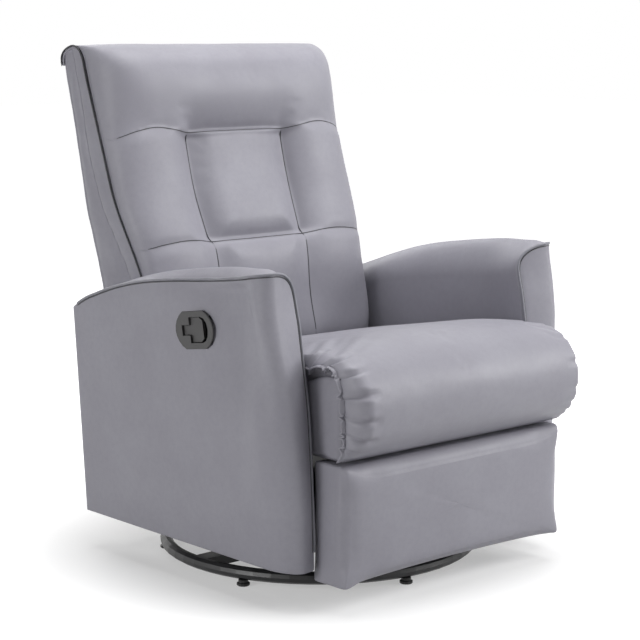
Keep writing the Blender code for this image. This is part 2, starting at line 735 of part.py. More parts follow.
def glide_rail(name, side):
    """Channel that the four glide links hold, with its flanges turned out."""
    low = GLIDE_LOW_PIN_Z - GLIDE_RAIL_DEPTH_BELOW_PIN
    near, steel = GLIDE_RAIL_X, GLIDE_RAIL_STEEL
    far = near + steel + GLIDE_RAIL_FLANGE
    channel = [
        (near, low), (far, low), (far, low + steel), (near + steel, low + steel),
        (near + steel, GLIDE_RAIL_TOP - steel), (far, GLIDE_RAIL_TOP - steel),
        (far, GLIDE_RAIL_TOP), (near, GLIDE_RAIL_TOP),
    ]
    outline = [(side * x, z) for x, z in channel]
    rear = REAR_RAIL_Y + REAR_RAIL_THICKNESS
    made = piece(name, prism(outline, GLIDE_RAIL_FRONT_Y, rear, "Y"), "black_steel", "frame")
    drills = [
        prism(circle((y, GLIDE_LOW_PIN_Z), bore(PIN_RADIUS)), *span(side, near - steel, near + 2 * steel))
        for y in (GLIDE_FRONT_Y, GLIDE_REAR_Y)
    ]
    carve(made, joined(*drills))


def cross_member(name, front, rear, look):
    """Bar between the arms, with its ends cut to the arms' slant."""
    ends = [(arm_inner(z) - GAP, z) for z in (CROSS_BOTTOM, CROSS_TOP)]
    outline = [(-ends[0][0], CROSS_BOTTOM), ends[0], ends[1], (-ends[1][0], CROSS_TOP)]
    piece(name, prism(outline, front, rear, "Y"), look, "frame")


def mechanism_rail(name, side):
    """Angle bar that carries the seat's swing links and is screwed to the arm."""
    near, steel = MECHANISM_RAIL_X, MECHANISM_STEEL
    far = arm_inner(MECHANISM_BOTTOM) - GAP
    low, high = MECHANISM_BOTTOM, MECHANISM_BOTTOM + MECHANISM_RAIL_HEIGHT
    angle = [(near, low), (far, low), (far, low + steel), (near + steel, low + steel),
             (near + steel, high), (near, high)]
    outline = [(side * x, z) for x, z in angle]
    rear = REAR_RAIL_Y + REAR_RAIL_THICKNESS
    made = piece(name, prism(outline, MECHANISM_RAIL_FRONT_Y, rear, "Y"), "black_steel", "frame")
    drills = [
        prism(circle(pin, bore(PIN_RADIUS)), *span(side, near - steel, near + 2 * steel))
        for pin in (SWING_FRONT_LOW, SWING_REAR_LOW)
    ]
    carve(made, joined(*drills))


def make_swing_links():
    for name, side in SIDES:
        layer = span(side, SWING_X, SWING_X + LINK_STEEL)
        into_rail = side * (MECHANISM_RAIL_X + MECHANISM_STEEL + LINK_STEEL / 4)
        into_plate = side * (SEAT_PLATE_X - GAP / 2)
        links = (
            ("front", SWING_FRONT_LOW, SWING_FRONT_HIGH, SWING_FRONT_HIGH),
            ("rear", SWING_REAR_LOW, SWING_REAR_HIGH, DRIVE_PIN),
        )
        for end, low, high, tip in links:
            studs = [(low, PIN_RADIUS, into_rail), (high, PIN_RADIUS, into_plate)]
            if tip != high:
                studs.append((tip, PIN_RADIUS, side * (MECHANISM_RAIL_X + LINK_STEEL + GAP)))
            shape = prism(bar(low, tip, LINK_HALF_WIDTH), *layer, studs=studs)
            piece("swing_link_%s_%s" % (end, name), shape, "zinc_steel", "swing_" + end)
        shape = prism(
            bar(DRIVE_PIN, BACK_DRIVE_PIN, LINK_HALF_WIDTH),
            *span(side, MECHANISM_RAIL_X, MECHANISM_RAIL_X + LINK_STEEL),
            holes=[(DRIVE_PIN, bore(PIN_RADIUS))],
        )
        piece("back_drive_link_" + name, shape, "zinc_steel", "drive")


# Arms

def arm_outline():
    """Side view of the arm as (y, z), from the bottom rear corner forward and round, with a weight for each
    point: how far it belongs to the top edge and how near it is to the front edge."""
    points, radii = [(ARM_REAR_Y, ARM_BOTTOM), (ARM_FRONT_Y, ARM_BOTTOM)], [ARM_BOTTOM_CORNER] * 2
    front_shares, top_steps = (0.25, 0.5, 0.72, 0.88, 0.94), 10
    for share in front_shares:
        z = lerp(ARM_BOTTOM, ARM_FRONT_TOP, share)
        points.append((arm_front(z), z))
        radii.append(0.0)
    for i in range(top_steps + 1):
        y = lerp(arm_front(ARM_FRONT_TOP), ARM_REAR_Y, (i / top_steps) ** 1.3)
        points.append((y, arm_edge_height(y)))
        radii.append(0.0)
    radii[2 + len(front_shares)] = ARM_FRONT_CORNER
    radii[-1] = ARM_REAR_CORNER
    outline = rounded(points, radii)
    weights = []
    for (y, z), normal in zip(outline, inward(outline)):
        behind = y - arm_front(z)
        weights.append((max(-normal[1], 0.0) ** 2, 1 - smooth(behind, 0.0, ARM_NOSE_DEPTH)))
    return outline, weights


def arm_rings(side):
    outline, weights = arm_outline()
    thick, crown, nose = ARM_THICKNESS, ARM_CROWN, ARM_NOSE_ROUNDING
    # Share of the thickness from the outer face, then how far the top drops, the front draws back and the rest draws in
    profile = (
        (0.00, 0.35 * crown, nose, 0.004),
        (0.06, 0.0, 0.45 * nose, 0.001),
        (0.17, -0.45 * crown, 0.10 * nose, 0.0),
        (0.40, -crown, 0.0, 0.0),
        (0.65, -0.80 * crown, 0.0, 0.0),
        (0.85, 0.0, 0.0, 0.0),
        (0.96, 0.75 * crown, 0.06 * nose, 0.001),
        (1.00, 1.90 * crown, 0.25 * nose, 0.004),
    )
    rings = []
    for share, drop, draw_back, other in profile:
        ring = []
        for (y, z), (top, front) in zip(inset(outline, other), weights):
            y, z = y + front * draw_back, z - top * drop
            ring.append((side * (arm_outer(z) - share * thick), y, z))
        rings.append(ring)
    return rings


def make_arms():
    for name, side in SIDES:
        arm = piece("arm_" + name, loft(arm_rings(side)), "grey_leather", "frame")
        if name == "right":
            pocket = prism(inset(well_outline(), -BEZEL_WALL - GAP * 2), -BEZEL_DEPTH - GAP * 2, BEZEL_DEPTH, "Z")
            pocket.transform(carrier_world["bezel"])
            carve(arm, pocket)


# Latch handle

def well_outline():
    """Mouth of the bezel: a slot for the handle's stem that opens into a round-ended well for the grip."""
    corner_x = 0.55 * WELL_FRONT
    points = [
        (STEM_REAR, -STEM_HALF_HEIGHT), (STEM_FRONT, -STEM_HALF_HEIGHT), (STEM_FRONT, -GRIP_HALF_HEIGHT),
        (corner_x, -GRIP_HALF_HEIGHT),
    ]
    for i in range(-2, 3):
        a = math.radians(30 * i)
        points.append((
            corner_x + (WELL_FRONT - corner_x) * math.cos(a),
            GRIP_HALF_HEIGHT * math.sin(a),
        ))
    points += [(corner_x, GRIP_HALF_HEIGHT), (STEM_FRONT, GRIP_HALF_HEIGHT),
               (STEM_FRONT, STEM_HALF_HEIGHT), (STEM_REAR, STEM_HALF_HEIGHT)]
    return points


def bezel_outline():
    """Oblong with flat top and bottom and elliptical ends."""
    limit = math.degrees(math.asin(BEZEL_HALF_HEIGHT / BEZEL_END_HEIGHT))
    points = []
    for start in (0.0, 180.0):
        for i in range(9):
            a = math.radians(start + lerp(-limit, limit, i / 8))
            points.append((BEZEL_HALF_LENGTH * math.cos(a), BEZEL_END_HEIGHT * math.sin(a)))
    return points


def flat_ring(shape, outer, inner):
    """Flat face between two loops of verts, cut into triangles."""
    loops = [[v.co.xy.to_3d() for v in outer], [v.co.xy.to_3d() for v in inner]]
    verts = outer + inner
    for triangle in tessellate_polygon(loops):
        shape.faces.new([verts[i] for i in triangle])


def make_handle():
    rim, well = bezel_outline(), well_outline()
    cup = inset(well, -BEZEL_WALL)
    shape = bmesh.new()

    def loop(outline, height):
        return [shape.verts.new((a, b, height)) for a, b in outline]

    edge = 0.35 * BEZEL_THICKNESS
    rim_low, rim_high = loop(rim, GAP), loop(rim, BEZEL_THICKNESS - edge)
    face = loop(inset(rim, edge), BEZEL_THICKNESS)
    mouth, floor = loop(well, BEZEL_THICKNESS), loop(well, BEZEL_WALL - BEZEL_DEPTH)
    cup_high, cup_low = loop(cup, GAP), loop(cup, -BEZEL_DEPTH)
    ring_walls(shape, rim_low, rim_high)
    ring_walls(shape, rim_high, face)
    flat_ring(shape, face, mouth)
    ring_walls(shape, mouth, floor)
    shape.faces.new(floor)
    flat_ring(shape, rim_low, cup_high)
    ring_walls(shape, cup_high, cup_low)
    shape.faces.new(cup_low)
    piece("handle_bezel", shape, "black_plastic", "bezel", local=True)

    slack, barrel = PADDLE_CLEARANCE, PADDLE_THICKNESS
    rear, neck = STEM_REAR + slack, STEM_FRONT + slack
    stem, grip = STEM_HALF_HEIGHT - slack, GRIP_HALF_HEIGHT - slack
    seat = STEM_HALF_HEIGHT - GAP
    half = [(rear, seat), (rear + barrel, seat), (rear + barrel, stem), (neck, stem), (neck, grip),
            (0.62 * GRIP_FRONT, grip), (GRIP_FRONT, 0.72 * grip)]
    outline = half + [(a, -b) for a, b in reversed(half)]
    top = -PADDLE_SETBACK
    paddle = prism(outline, top - PADDLE_THICKNESS, top, "Z")
    bevel_at = [e for e in paddle.edges if all(abs(v.co.z - top) < 1e-6 and v.co.x > neck - 1e-6 for v in e.verts)]
    bevel_at = [e for e in bevel_at if e.calc_face_angle(0.0) > 0.5]
    bmesh.ops.bevel(paddle, geom=bevel_at, offset=0.0015, segments=2, affect="EDGES", profile=0.5)
    paddle.transform(carrier_world["handle"].inverted() @ carrier_world["bezel"])
    piece("handle_paddle", paddle, "black_plastic", "handle", local=True)


# Seat

def seat_section():
    """Side view of the seat pad: over the top and round the front roll, then back along the underside."""
    front_face = BLOCK_FRONT_Y - GAP
    low = FOOTREST_TOP + 0.004
    nose = front_face - SEAT_ROLL_DEPTH
    crest = BLOCK_TOP + SEAT_PAD_FRONT
    radius_y, radius_z = 0.105, (crest - low) / 2
    centre = (nose + radius_y, low + radius_z)
    top = []
    for i in range(6):
        y = lerp(SEAT_REAR_Y - 0.012, centre[0] + 0.03, i / 5)
        pad = lerp(SEAT_PAD_REAR, SEAT_PAD_FRONT, i / 5)
        top.append((y, seat_underside(y) + pad))
    roll_steps = 9
    for i in range(roll_steps + 1):
        a = math.radians(lerp(90.0, 252.0, i / roll_steps))
        c, s = math.cos(a), math.sin(a)
        top.append((
            centre[0] + radius_y * math.copysign(abs(c) ** 0.86, c),
            centre[1] + radius_z * math.copysign(abs(s) ** 0.86, s),
        ))
    under = [(front_face, low + 0.002), (front_face, lerp(low, BLOCK_TOP, 0.5)), (front_face, BLOCK_TOP + GAP)]
    under += [(y, seat_underside(y)) for y in (lerp(BLOCK_REAR_Y, SEAT_REAR_Y, k / 4) for k in range(5))]
    under.append((SEAT_REAR_Y, SEAT_UNDERSIDE_REAR + 0.6 * SEAT_PAD_REAR))
    return [p for p in top if p[0] < front_face or p[1] > BLOCK_TOP], under


def drawn_in(over, under, amount):
    """How far each point of the seat's section draws in at the gathered ends. Beside the arms it is less."""
    amounts = []
    for i, (y, z) in enumerate(over):
        beside_arm = smooth(y, ARM_FRONT_Y - SEAT_ROLL_DEPTH / 4, ARM_FRONT_Y + SEAT_ROLL_DEPTH)
        lip = smooth(len(over) - 1 - i, 0, 3)
        amounts.append(amount * lerp(1.0, SEAT_SIDE_DRAW / SEAT_END_DRAW, beside_arm) * lip)
    return amounts + [0.0] * len(under)


def make_seat():
    for name, side in SIDES:
        seat_plate("seat_plate_" + name, side)
        front, rear = BLOCK_REAR_Y + GAP, SEAT_REAR_RAIL_Y - GAP
        rail = [(front, SEAT_FRAME_BOTTOM), (rear, SEAT_FRAME_BOTTOM),
                (rear, seat_underside(rear) - GAP), (front, seat_underside(front) - GAP)]
        reach = span(side, SEAT_RAIL_OUTER_X - SEAT_RAIL_THICKNESS, SEAT_RAIL_OUTER_X)
        piece("seat_rail_" + name, prism(rail, *reach), "plywood", "seat")
    front_block = rounded(
        rectangle((BLOCK_FRONT_Y, SEAT_FRAME_BOTTOM), (BLOCK_REAR_Y, BLOCK_TOP)), [0.006, 0.003, 0.003, 0.010]
    )
    piece("seat_front_block", prism(front_block, -BLOCK_HALF_WIDTH, BLOCK_HALF_WIDTH), "grey_leather", "seat")
    rear_top = seat_underside(SEAT_REAR_RAIL_Y + SEAT_RAIL_THICKNESS) - GAP
    reach = SWING_X - GAP
    low = (-reach, SEAT_REAR_RAIL_Y, SEAT_FRAME_BOTTOM)
    high = (reach, SEAT_REAR_RAIL_Y + SEAT_RAIL_THICKNESS, rear_top)
    piece("seat_rail_rear", block(low, high), "plywood", "seat")
    for k in range(SPRING_COUNT):
        seat_spring("seat_spring_%d" % (k + 1), (k - (SPRING_COUNT - 1) / 2) * SPRING_SPACING)

    over, under = seat_section()
    section = over + under
    rings = []
    draw = SEAT_END_DRAW
    ends = ((1.0, draw), (0.990, 0.60 * draw), (0.965, 0.28 * draw), (0.93, 0.08 * draw), (0.88, 0.0))
    middle = [0.80, 0.55, 0.28, 0.0]
    shares = [(s, d) for s, d in ends] + [(s, 0.0) for s in middle]
    shares += [(-s, d) for s, d in reversed(shares[:-1])]
    for share, amount in shares:
        ring = []
        for (y, z), normal in zip(inset(section, drawn_in(over, under, amount)), inward(section)):
            width = lerp(SEAT_ROLL_HALF_WIDTH, SEAT_HALF_WIDTH, smooth(y, ARM_FRONT_Y - 0.01, ARM_FRONT_Y + 0.06))
            lift = SEAT_CROWN * (1 - share ** 4) * max(-normal[1], 0.0)
            ring.append((share * width, y, z + lift))
        rings.append(ring)
    piece("seat_cushion", loft(rings), "grey_leather", "seat")


def seat_plate(name, side):
    """Steel side plate that every seat pivot goes through."""
    m, ear = SEAT_PLATE_MARGIN, BRACKET_EAR
    hinge = BACK_HINGE
    outline = [
        (GUIDE_PIN[0] - m, GUIDE_PIN[1] - m), (FOLD_PIN[0] - m, FOLD_PIN[1] - m), (FOLD_PIN[0] + m, FOLD_PIN[1] - m),
        (SWING_FRONT_HIGH[0] - m, SWING_FRONT_HIGH[1] - m), (SWING_REAR_HIGH[0] + m, SWING_REAR_HIGH[1] - m),
        (hinge[0] + ear, hinge[1] - 0.4 * ear), (hinge[0] + ear, hinge[1] + ear), (hinge[0] - ear, hinge[1] + ear),
        (SEAT_REAR_RAIL_Y + SEAT_RAIL_THICKNESS + 0.004, SEAT_PLATE_TOP), (GUIDE_PIN[0] - m, SEAT_PLATE_TOP),
    ]
    radii = [0.008, 0.010, 0.010, 0.010, 0.012, 0.010, 0.012, 0.012, 0.004, 0.004]
    pins = (FOLD_PIN, GUIDE_PIN, SWING_FRONT_HIGH, SWING_REAR_HIGH, BACK_HINGE)
    holes = [(pin, bore(PIN_RADIUS)) for pin in pins]
    layer = span(side, SEAT_PLATE_X, SEAT_PLATE_X + MECHANISM_STEEL)
    piece(name, prism(rounded(outline, radii, 3), *layer, holes=holes), "black_steel", "seat")


def seat_spring(name, x):
    """Sinuous wire from the front block to the rear rail, just under the pad."""
    steps = SPRING_WAVES * 6
    first, last = BLOCK_REAR_Y + GAP, SEAT_REAR_RAIL_Y - GAP
    line = bpy.data.curves.new(name, "CURVE")
    line.dimensions = "3D"
    line.bevel_depth = SPRING_WIRE
    line.bevel_resolution = 1
    line.use_fill_caps = True
    spline = line.splines.new("POLY")
    spline.points.add(steps + 2)
    for i in range(steps + 3):
        share = min(max((i - 1) / steps, 0.0), 1.0)
        y = lerp(first + 2 * SPRING_WIRE, last - 2 * SPRING_WIRE, share)
        y = first if i == 0 else last if i == steps + 2 else y
        swing = SPRING_SWING * math.sin(2 * math.pi * SPRING_WAVES * share)
        z = seat_underside(y) - SPRING_WIRE - 2 * GAP
        spline.points[i].co = (x + swing, y - SWING_FRONT_HIGH[0], z - SWING_FRONT_HIGH[1], 1.0)
    line.materials.append(finish("spring_steel"))
    made = bpy.data.objects.new(name, line)
    bpy.context.scene.collection.objects.link(made)
    made.parent = carriers["seat"]


# Footrest and its links

def make_footrest_links():
    width, pin = FOLD_LINK_HALF_WIDTH, FOLD_PIN_RADIUS
    hole = bore(pin)
    for name, side in SIDES:
        outer = span(side, OUTER_LINK_X, OUTER_LINK_X + LINK_STEEL)
        inner = span(side, INNER_LINK_X, INNER_LINK_X + LINK_STEEL)
        third = span(side, BRACE_LINK_X, BRACE_LINK_X + LINK_STEEL)
        into_plate = side * (SEAT_PLATE_X + MECHANISM_STEEL + GAP / 2)
        into_carry = side * (INNER_LINK_X - GAP / 2)
        into_brace = side * (BRACE_LINK_X - LINK_STEEL / 4)
        fold = prism(
            bar(FOLD_PIN, FOLD_ELBOW, width), *outer,
            studs=[(FOLD_PIN, PIN_RADIUS, into_plate), (FOLD_ELBOW, pin, into_carry)],
        )
        piece("fold_link_" + name, fold, "zinc_steel", "fold")
        guide = prism(
            bar(GUIDE_PIN, GUIDE_TIP, width), *outer,
            studs=[(GUIDE_PIN, PIN_RADIUS, into_plate), (CROSS_PIN, pin, into_carry), (GUIDE_TIP, pin, into_brace)],
        )
        piece("guide_link_" + name, guide, "zinc_steel", "guide")
        carry = prism(
            bar(FOLD_ELBOW, FOOT_PIN_HIGH, width), *inner,
            holes=[(FOLD_ELBOW, hole), (CROSS_PIN, hole), (FOOT_PIN_HIGH, hole)],
        )
        piece("carry_link_" + name, carry, "zinc_steel", "carry")
        brace = prism(
            bar(GUIDE_TIP, FOOT_PIN_LOW, width), *third,
            holes=[(GUIDE_TIP, hole), (FOOT_PIN_LOW, hole)],
        )
        piece("brace_link_" + name, brace, "zinc_steel", "brace")
        foot_bracket("footrest_bracket_" + name, side, into_carry, into_brace)
    reach = OUTER_LINK_X - GAP
    tube = [
        [(x, y, z) for y, z in circle(FOLD_PIN, radius)]
        for x, radius in (
            (-reach, TORQUE_TUBE_RADIUS), (reach, TORQUE_TUBE_RADIUS),
            (reach, TORQUE_TUBE_BORE), (-reach, TORQUE_TUBE_BORE),
        )
    ]
    piece("torque_tube", loft(tube, closed=True), "black_steel", "fold")


def foot_bracket(name, side, into_carry, into_brace):
    """Angle on the back of the footrest board, with an ear for its two pins."""
    rear = FOOTREST_REAR_Y + GAP
    r = LINK_HALF_WIDTH
    points = [
        (rear, FOOT_BRACKET_LOW), (rear + 0.020, FOOT_BRACKET_LOW), (FOOT_PIN_LOW[0] + r, FOOT_PIN_LOW[1] - r),
        (FOOT_PIN_LOW[0] + r, FOOT_PIN_LOW[1] + r), (FOOT_PIN_HIGH[0] + r, FOOT_PIN_HIGH[1] + r),
        (rear, FOOT_PIN_HIGH[1] + r),
    ]
    outline = rounded(points, [0.002, 0.006, 0.009, 0.009, 0.009, 0.002], 3)
    studs = [(FOOT_PIN_HIGH, FOLD_PIN_RADIUS, into_carry), (FOOT_PIN_LOW, FOLD_PIN_RADIUS, into_brace)]
    layer = span(side, OUTER_LINK_X, OUTER_LINK_X + LINK_STEEL)
    made = piece(name, prism(outline, *layer, studs=studs), "black_steel", "footrest")
    flange = span(side, OUTER_LINK_X + LINK_STEEL / 2, OUTER_LINK_X + FOOT_BRACKET_FLANGE)
    high = FOOT_PIN_HIGH[1] + r
    tool = block((flange[0], rear, FOOT_BRACKET_LOW), (flange[1], rear + MECHANISM_STEEL, high))
    carve(made, tool, "UNION")


def make_footrest_pad():
    half, corner = FOOTREST_HALF_WIDTH, FOOTREST_CORNER
    front = FOOTREST_REAR_Y - FOOTREST_THICKNESS + FOOTREST_CROWN
    middle = (FOOTREST_BOTTOM + FOOTREST_TOP) / 2
    tall = (FOOTREST_TOP - FOOTREST_BOTTOM) / 2
    points = []
    steps_x, steps_z = 6, 3
    for i in range(steps_x):
        points.append((lerp(-half, half, i / steps_x), middle - tall))
    for i in range(steps_z):
        points.append((half, lerp(middle - tall, middle + tall, i / steps_z)))
    for i in range(steps_x):
        points.append((lerp(half, -half, i / steps_x), middle + tall))
    for i in range(steps_z):
        points.append((-half, lerp(middle + tall, middle - tall, i / steps_z)))
    radii = [0.0] * len(points)
    for k in (0, steps_x, steps_x + steps_z, 2 * steps_x + steps_z):
        radii[k] = corner
    outline = rounded(points, radii, 3)

    def shrunk(amount):
        return [
            (x * (1 - amount / half), middle + (z - middle) * (1 - amount / tall)) for x, z in outline
        ]

    # Inset and depth of each ring, from the flat rear to the crowned front
    profile = (
        (0.004, FOOTREST_REAR_Y),
        (0.0, FOOTREST_REAR_Y - 0.006),
        (0.0015, lerp(FOOTREST_REAR_Y, front, 0.45)),
        (0.0, lerp(FOOTREST_REAR_Y, front, 0.84)),
        (0.005, front + 0.002),
        (0.018, front - 0.35 * FOOTREST_CROWN),
        (0.045, front - 0.72 * FOOTREST_CROWN),
        (0.085, front - FOOTREST_CROWN),
    )
    rings = [[(x, y, z) for x, z in shrunk(amount)] for amount, y in profile]
    piece("footrest_pad", loft(rings), "grey_leather", "footrest")


# Back, in its own frame: X across, Y behind the hinge and Z up the back

def back_rise():
    """Heights at which the sides of the back widen to the shoulders."""
    return [lerp(BACK_WIDENS_FROM, BACK_WIDENS_TO, k / 4) for k in range(5)]


def back_outline(drawn_in, low):
    """Front view of the back as (x, u): sides that widen to the shoulders and round top corners."""
    rise = back_rise()
    trim = [lerp(low, BACK_EDGE_TRIM, k / 3) for k in range(4)]
    foot = [(back_half_width(u) - drawn_in, u) for u in trim]
    points = [(-x, u) for x, u in reversed(foot)] + foot
    top = BACK_TOP - drawn_in
    side = [(back_half_width(u) - drawn_in, u) for u in rise] + [(BACK_HALF_WIDTH_TOP - drawn_in, top)]
    points += side + [(-x, u) for x, u in reversed(side)]
    radii = [0.0] * len(points)
    corner = len(foot) * 2 + len(rise)
    radii[corner] = radii[corner + 1] = max(BACK_TOP_CORNER - drawn_in, 0.004)
    return rounded(points, radii, 5)


def make_back_cover():
    """Outside back with its side and top walls: a tray that is open to the front and at the foot."""
    rear = BACK_REAR
    wall = [(x, u) for x, u in back_outline(0.0, BACK_BOTTOM)]
    inner = [(x, u) for x, u in back_outline(BACK_WALL, BACK_BOTTOM + BACK_WALL)]
    rings = [
        [(x, -rear, u) for x, u in inset(wall, 0.012)],
        [(x, -rear - 0.004, u) for x, u in inset(wall, 0.0035)],
        [(x, -rear - 0.013, u) for x, u in wall],
        [(x, -back_edge(u), u) for x, u in wall],
        [(x, -back_edge(u), u) for x, u in inner],
        [(x, -rear - BACK_FLOOR, u) for x, u in inner],
    ]
    cover = piece("back_cover", loft(rings), "grey_leather", "back", local=True)
    half = back_half_width(BACK_BOTTOM) - BACK_WALL
    foot = block((-half, -BACK_EDGE_LOW - 0.02, BACK_BOTTOM - BACK_WALL),
                 (half, -rear - BACK_FLOOR, BACK_BOTTOM + 2 * BACK_WALL))
    carve(cover, foot, local=True)


def back_front(x, u):
    """How far forward the front of the back cushion lies, with its crown and its sewn seams."""
    side = (back_half_width(u) - BACK_WALL - GAP - abs(x)) / BACK_SHOULDER
    top = (BACK_TOP - BACK_WALL - GAP - u) / BACK_SHOULDER
    foot = (u - BACK_CUSHION_BOTTOM) / BACK_SHOULDER
    fall = 1.0
    for share in (side, top, foot):
        share = min(max(share, 0.0), 1.0)
        fall *= math.sqrt(1 - (1 - share) ** 2)
    lumbar = math.exp(-(((u - LUMBAR_BULGE_HEIGHT) / LUMBAR_BULGE_REACH) ** 2))
    head = math.exp(-(((u - HEAD_BULGE_HEIGHT) / HEAD_BULGE_REACH) ** 2))
    full = BACK_FRONT + LUMBAR_BULGE * lumbar + HEAD_BULGE * head
    height = lerp(back_edge(u), full, fall)
    groove = math.exp(-((u - HEAD_SEAM) / SEAM_WIDTH) ** 2)
    below = smooth(HEAD_SEAM - u, 0.0, SEAM_WIDTH)
    for distance, strength in ((u - LUMBAR_SEAM, 1.0), (abs(x) - SIDE_SEAM_X, below)):
        groove = max(groove, strength * math.exp(-((distance / SEAM_WIDTH) ** 2)))
    return height - SEAM_DEPTH * groove * fall


def stations(low, high, seams, step):
    """Places between two ends that crowd round each seam."""
    marks = {low, high}
    for seam in seams:
        marks |= {seam, seam - SEAM_WIDTH, seam + SEAM_WIDTH}
    marks = sorted(marks)
    made = [low]
    for first, last in zip(marks, marks[1:]):
        parts = max(1, round((last - first) / step))
        made += [lerp(first, last, (k + 1) / parts) for k in range(parts)]
    return made


def side_at(outline, u):
    """Half width of an outline at one height."""
    found = 0.0
    for first, last in zip(outline, outline[1:] + outline[:1]):
        if first[1] != last[1] and min(first[1], last[1]) <= u <= max(first[1], last[1]):
            found = max(found, lerp(first[0], last[0], (u - first[1]) / (last[1] - first[1])))
    return found


def make_back_cushion():
    """Front pad: a grid of points that fills the tray's mouth and is crowned between its seams."""
    low, high = BACK_CUSHION_BOTTOM, BACK_TOP - BACK_WALL - GAP
    mouth = back_outline(BACK_WALL, BACK_BOTTOM + BACK_WALL)
    rows = stations(low, high, (LUMBAR_SEAM, HEAD_SEAM), 0.036)
    rows = rows[:-1] + [u for x, u in mouth if u > rows[-2] + 0.004 and u < high - 0.002] + [high]
    rows = sorted(set(rows) | set(back_rise()))
    seam = SIDE_SEAM_X / BACK_HALF_WIDTH_TOP
    shares = stations(-1.0, 1.0, (-seam, seam), 0.13)
    shares = [-1.0, -0.975, -0.92] + shares[1:-1] + [0.92, 0.975, 1.0]
    shape = bmesh.new()
    grid = []
    for u in rows:
        half = side_at(mouth, u) - GAP
        grid.append([
            shape.verts.new((share * half, -back_front(share * half, u), u)) for share in shares
        ])
    for first, second in zip(grid, grid[1:]):
        for k in range(len(shares) - 1):
            shape.faces.new((first[k], first[k + 1], second[k + 1], second[k]))
    rim = grid[0] + [row[-1] for row in grid[1:]] + grid[-1][-2::-1] + [row[0] for row in grid[-2:0:-1]]
    rear = -BOARD_FRONT - GAP
    behind = [shape.verts.new((v.co.x, rear, v.co.z)) for v in rim]
    ring_walls(shape, rim, behind)
    shape.faces.new(behind)
    piece("back_cushion", shape, "grey_leather", "back", local=True)


def make_back_frame():
    half = SWING_X - GAP
    board = rounded(rectangle((-half, BOARD_BOTTOM), (half, BOARD_TOP)), [0.008, 0.008, 0.03, 0.03])
    shape = prism(board, -BOARD_FRONT, -BOARD_FRONT + BOARD_THICKNESS, "Y")
    piece("back_board", shape, "plywood", "back", local=True)
    lean = math.radians(BACK_LEAN_DEG)
    y, z = BACK_DRIVE_PIN[0] - BACK_HINGE[0], BACK_DRIVE_PIN[1] - BACK_HINGE[1]
    pin = (y * math.cos(lean) - z * math.sin(lean), y * math.sin(lean) + z * math.cos(lean))
    ear, r = BRACKET_EAR, LINK_HALF_WIDTH
    front = -BOARD_FRONT + GAP
    points = [
        (-ear, -ear), (pin[0] - r, pin[1] - r), (pin[0] + r, pin[1] - r),
        (front + BRACKET_WIDTH, ear), (front + BRACKET_WIDTH, BRACKET_TOP), (front, BRACKET_TOP),
        (front, 1.5 * ear), (-ear, ear),
    ]
    outline = rounded(points, [0.012, 0.009, 0.009, 0.012, 0.008, 0.008, 0.006, 0.012], 3)
    for name, side in SIDES:
        into_plate = side * (SEAT_PLATE_X - GAP / 2)
        shape = prism(
            outline, *span(side, SWING_X, SWING_X + LINK_STEEL), studs=[((0.0, 0.0), PIN_RADIUS, into_plate)]
        )
        piece("back_bracket_" + name, shape, "black_steel", "back", local=True)


def centre_on_origin():
    """Slide the whole chair along Y, so that the origin is under the middle of its outer sizes."""
    bpy.context.view_layer.update()
    depths = []
    for thing in bpy.context.scene.objects:
        if thing.type == "MESH" and not thing.hide_render:
            place = thing.matrix_world
            depths += [(place @ vert.co).y for vert in thing.data.vertices]
    carriers["base"].location.y -= (min(depths) + max(depths)) / 2


def main():
    clear_scene()
    make_carriers()
    make_base()
    make_swivel()
    make_glide_links()
    make_frame()
    make_swing_links()
    make_arms()
    make_handle()
    make_seat()
    make_footrest_links()
    make_footrest_pad()
    make_back_cover()
    make_back_cushion()
    make_back_frame()
    centre_on_origin()


main()
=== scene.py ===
import math

import bmesh
import bpy
import numpy as np
from mathutils import Matrix, Vector, noise
from mathutils.bvhtree import BVHTree
from mathutils.geometry import tessellate_polygon


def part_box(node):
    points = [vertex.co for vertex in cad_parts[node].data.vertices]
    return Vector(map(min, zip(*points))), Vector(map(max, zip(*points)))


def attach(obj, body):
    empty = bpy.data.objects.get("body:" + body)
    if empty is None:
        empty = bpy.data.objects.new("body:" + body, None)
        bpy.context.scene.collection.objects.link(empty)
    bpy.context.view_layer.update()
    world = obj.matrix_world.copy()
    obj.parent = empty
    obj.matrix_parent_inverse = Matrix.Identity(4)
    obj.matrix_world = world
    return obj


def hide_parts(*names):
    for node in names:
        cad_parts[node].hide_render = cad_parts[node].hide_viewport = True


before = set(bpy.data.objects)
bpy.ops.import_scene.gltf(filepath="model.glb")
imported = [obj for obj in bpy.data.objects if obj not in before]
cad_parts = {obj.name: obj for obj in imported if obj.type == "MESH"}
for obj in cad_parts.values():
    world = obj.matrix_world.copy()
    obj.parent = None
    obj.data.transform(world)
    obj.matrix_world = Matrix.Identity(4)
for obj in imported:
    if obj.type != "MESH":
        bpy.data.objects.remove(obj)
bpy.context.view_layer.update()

# Sizes in metres, in the frame of the solids' own source. SHIFT is how far packing moved them along y.
ARM_REAR_Y = 0.297
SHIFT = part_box("arm_left")[1].y - ARM_REAR_Y
ARM_BOTTOM, ARM_FRONT_TOP, ARM_REAR_TOP = 0.077, 0.628, 0.508
ARM_FRONT_Y = -0.343
ARM_OUTER_LOW, ARM_OUTER_TOP, ARM_THICK = 0.363, 0.3845, 0.0695
HINGE_Y, HINGE_Z, LEAN = 0.185, 0.330, math.radians(13.5)
HEAD_SEAM, LUMBAR_SEAM, SIDE_SEAM_SHARE = 0.516, 0.284, 0.4114
BACK_FOOT, BACK_SHOULDER, BACK_POWER = 0.030, 0.102, 2.3
SEAT_HALF, ROLL_HALF, SEAT_REAR_Y, SEAT_REAR_LOW = 0.2940, 0.2945, 0.141, 0.3375
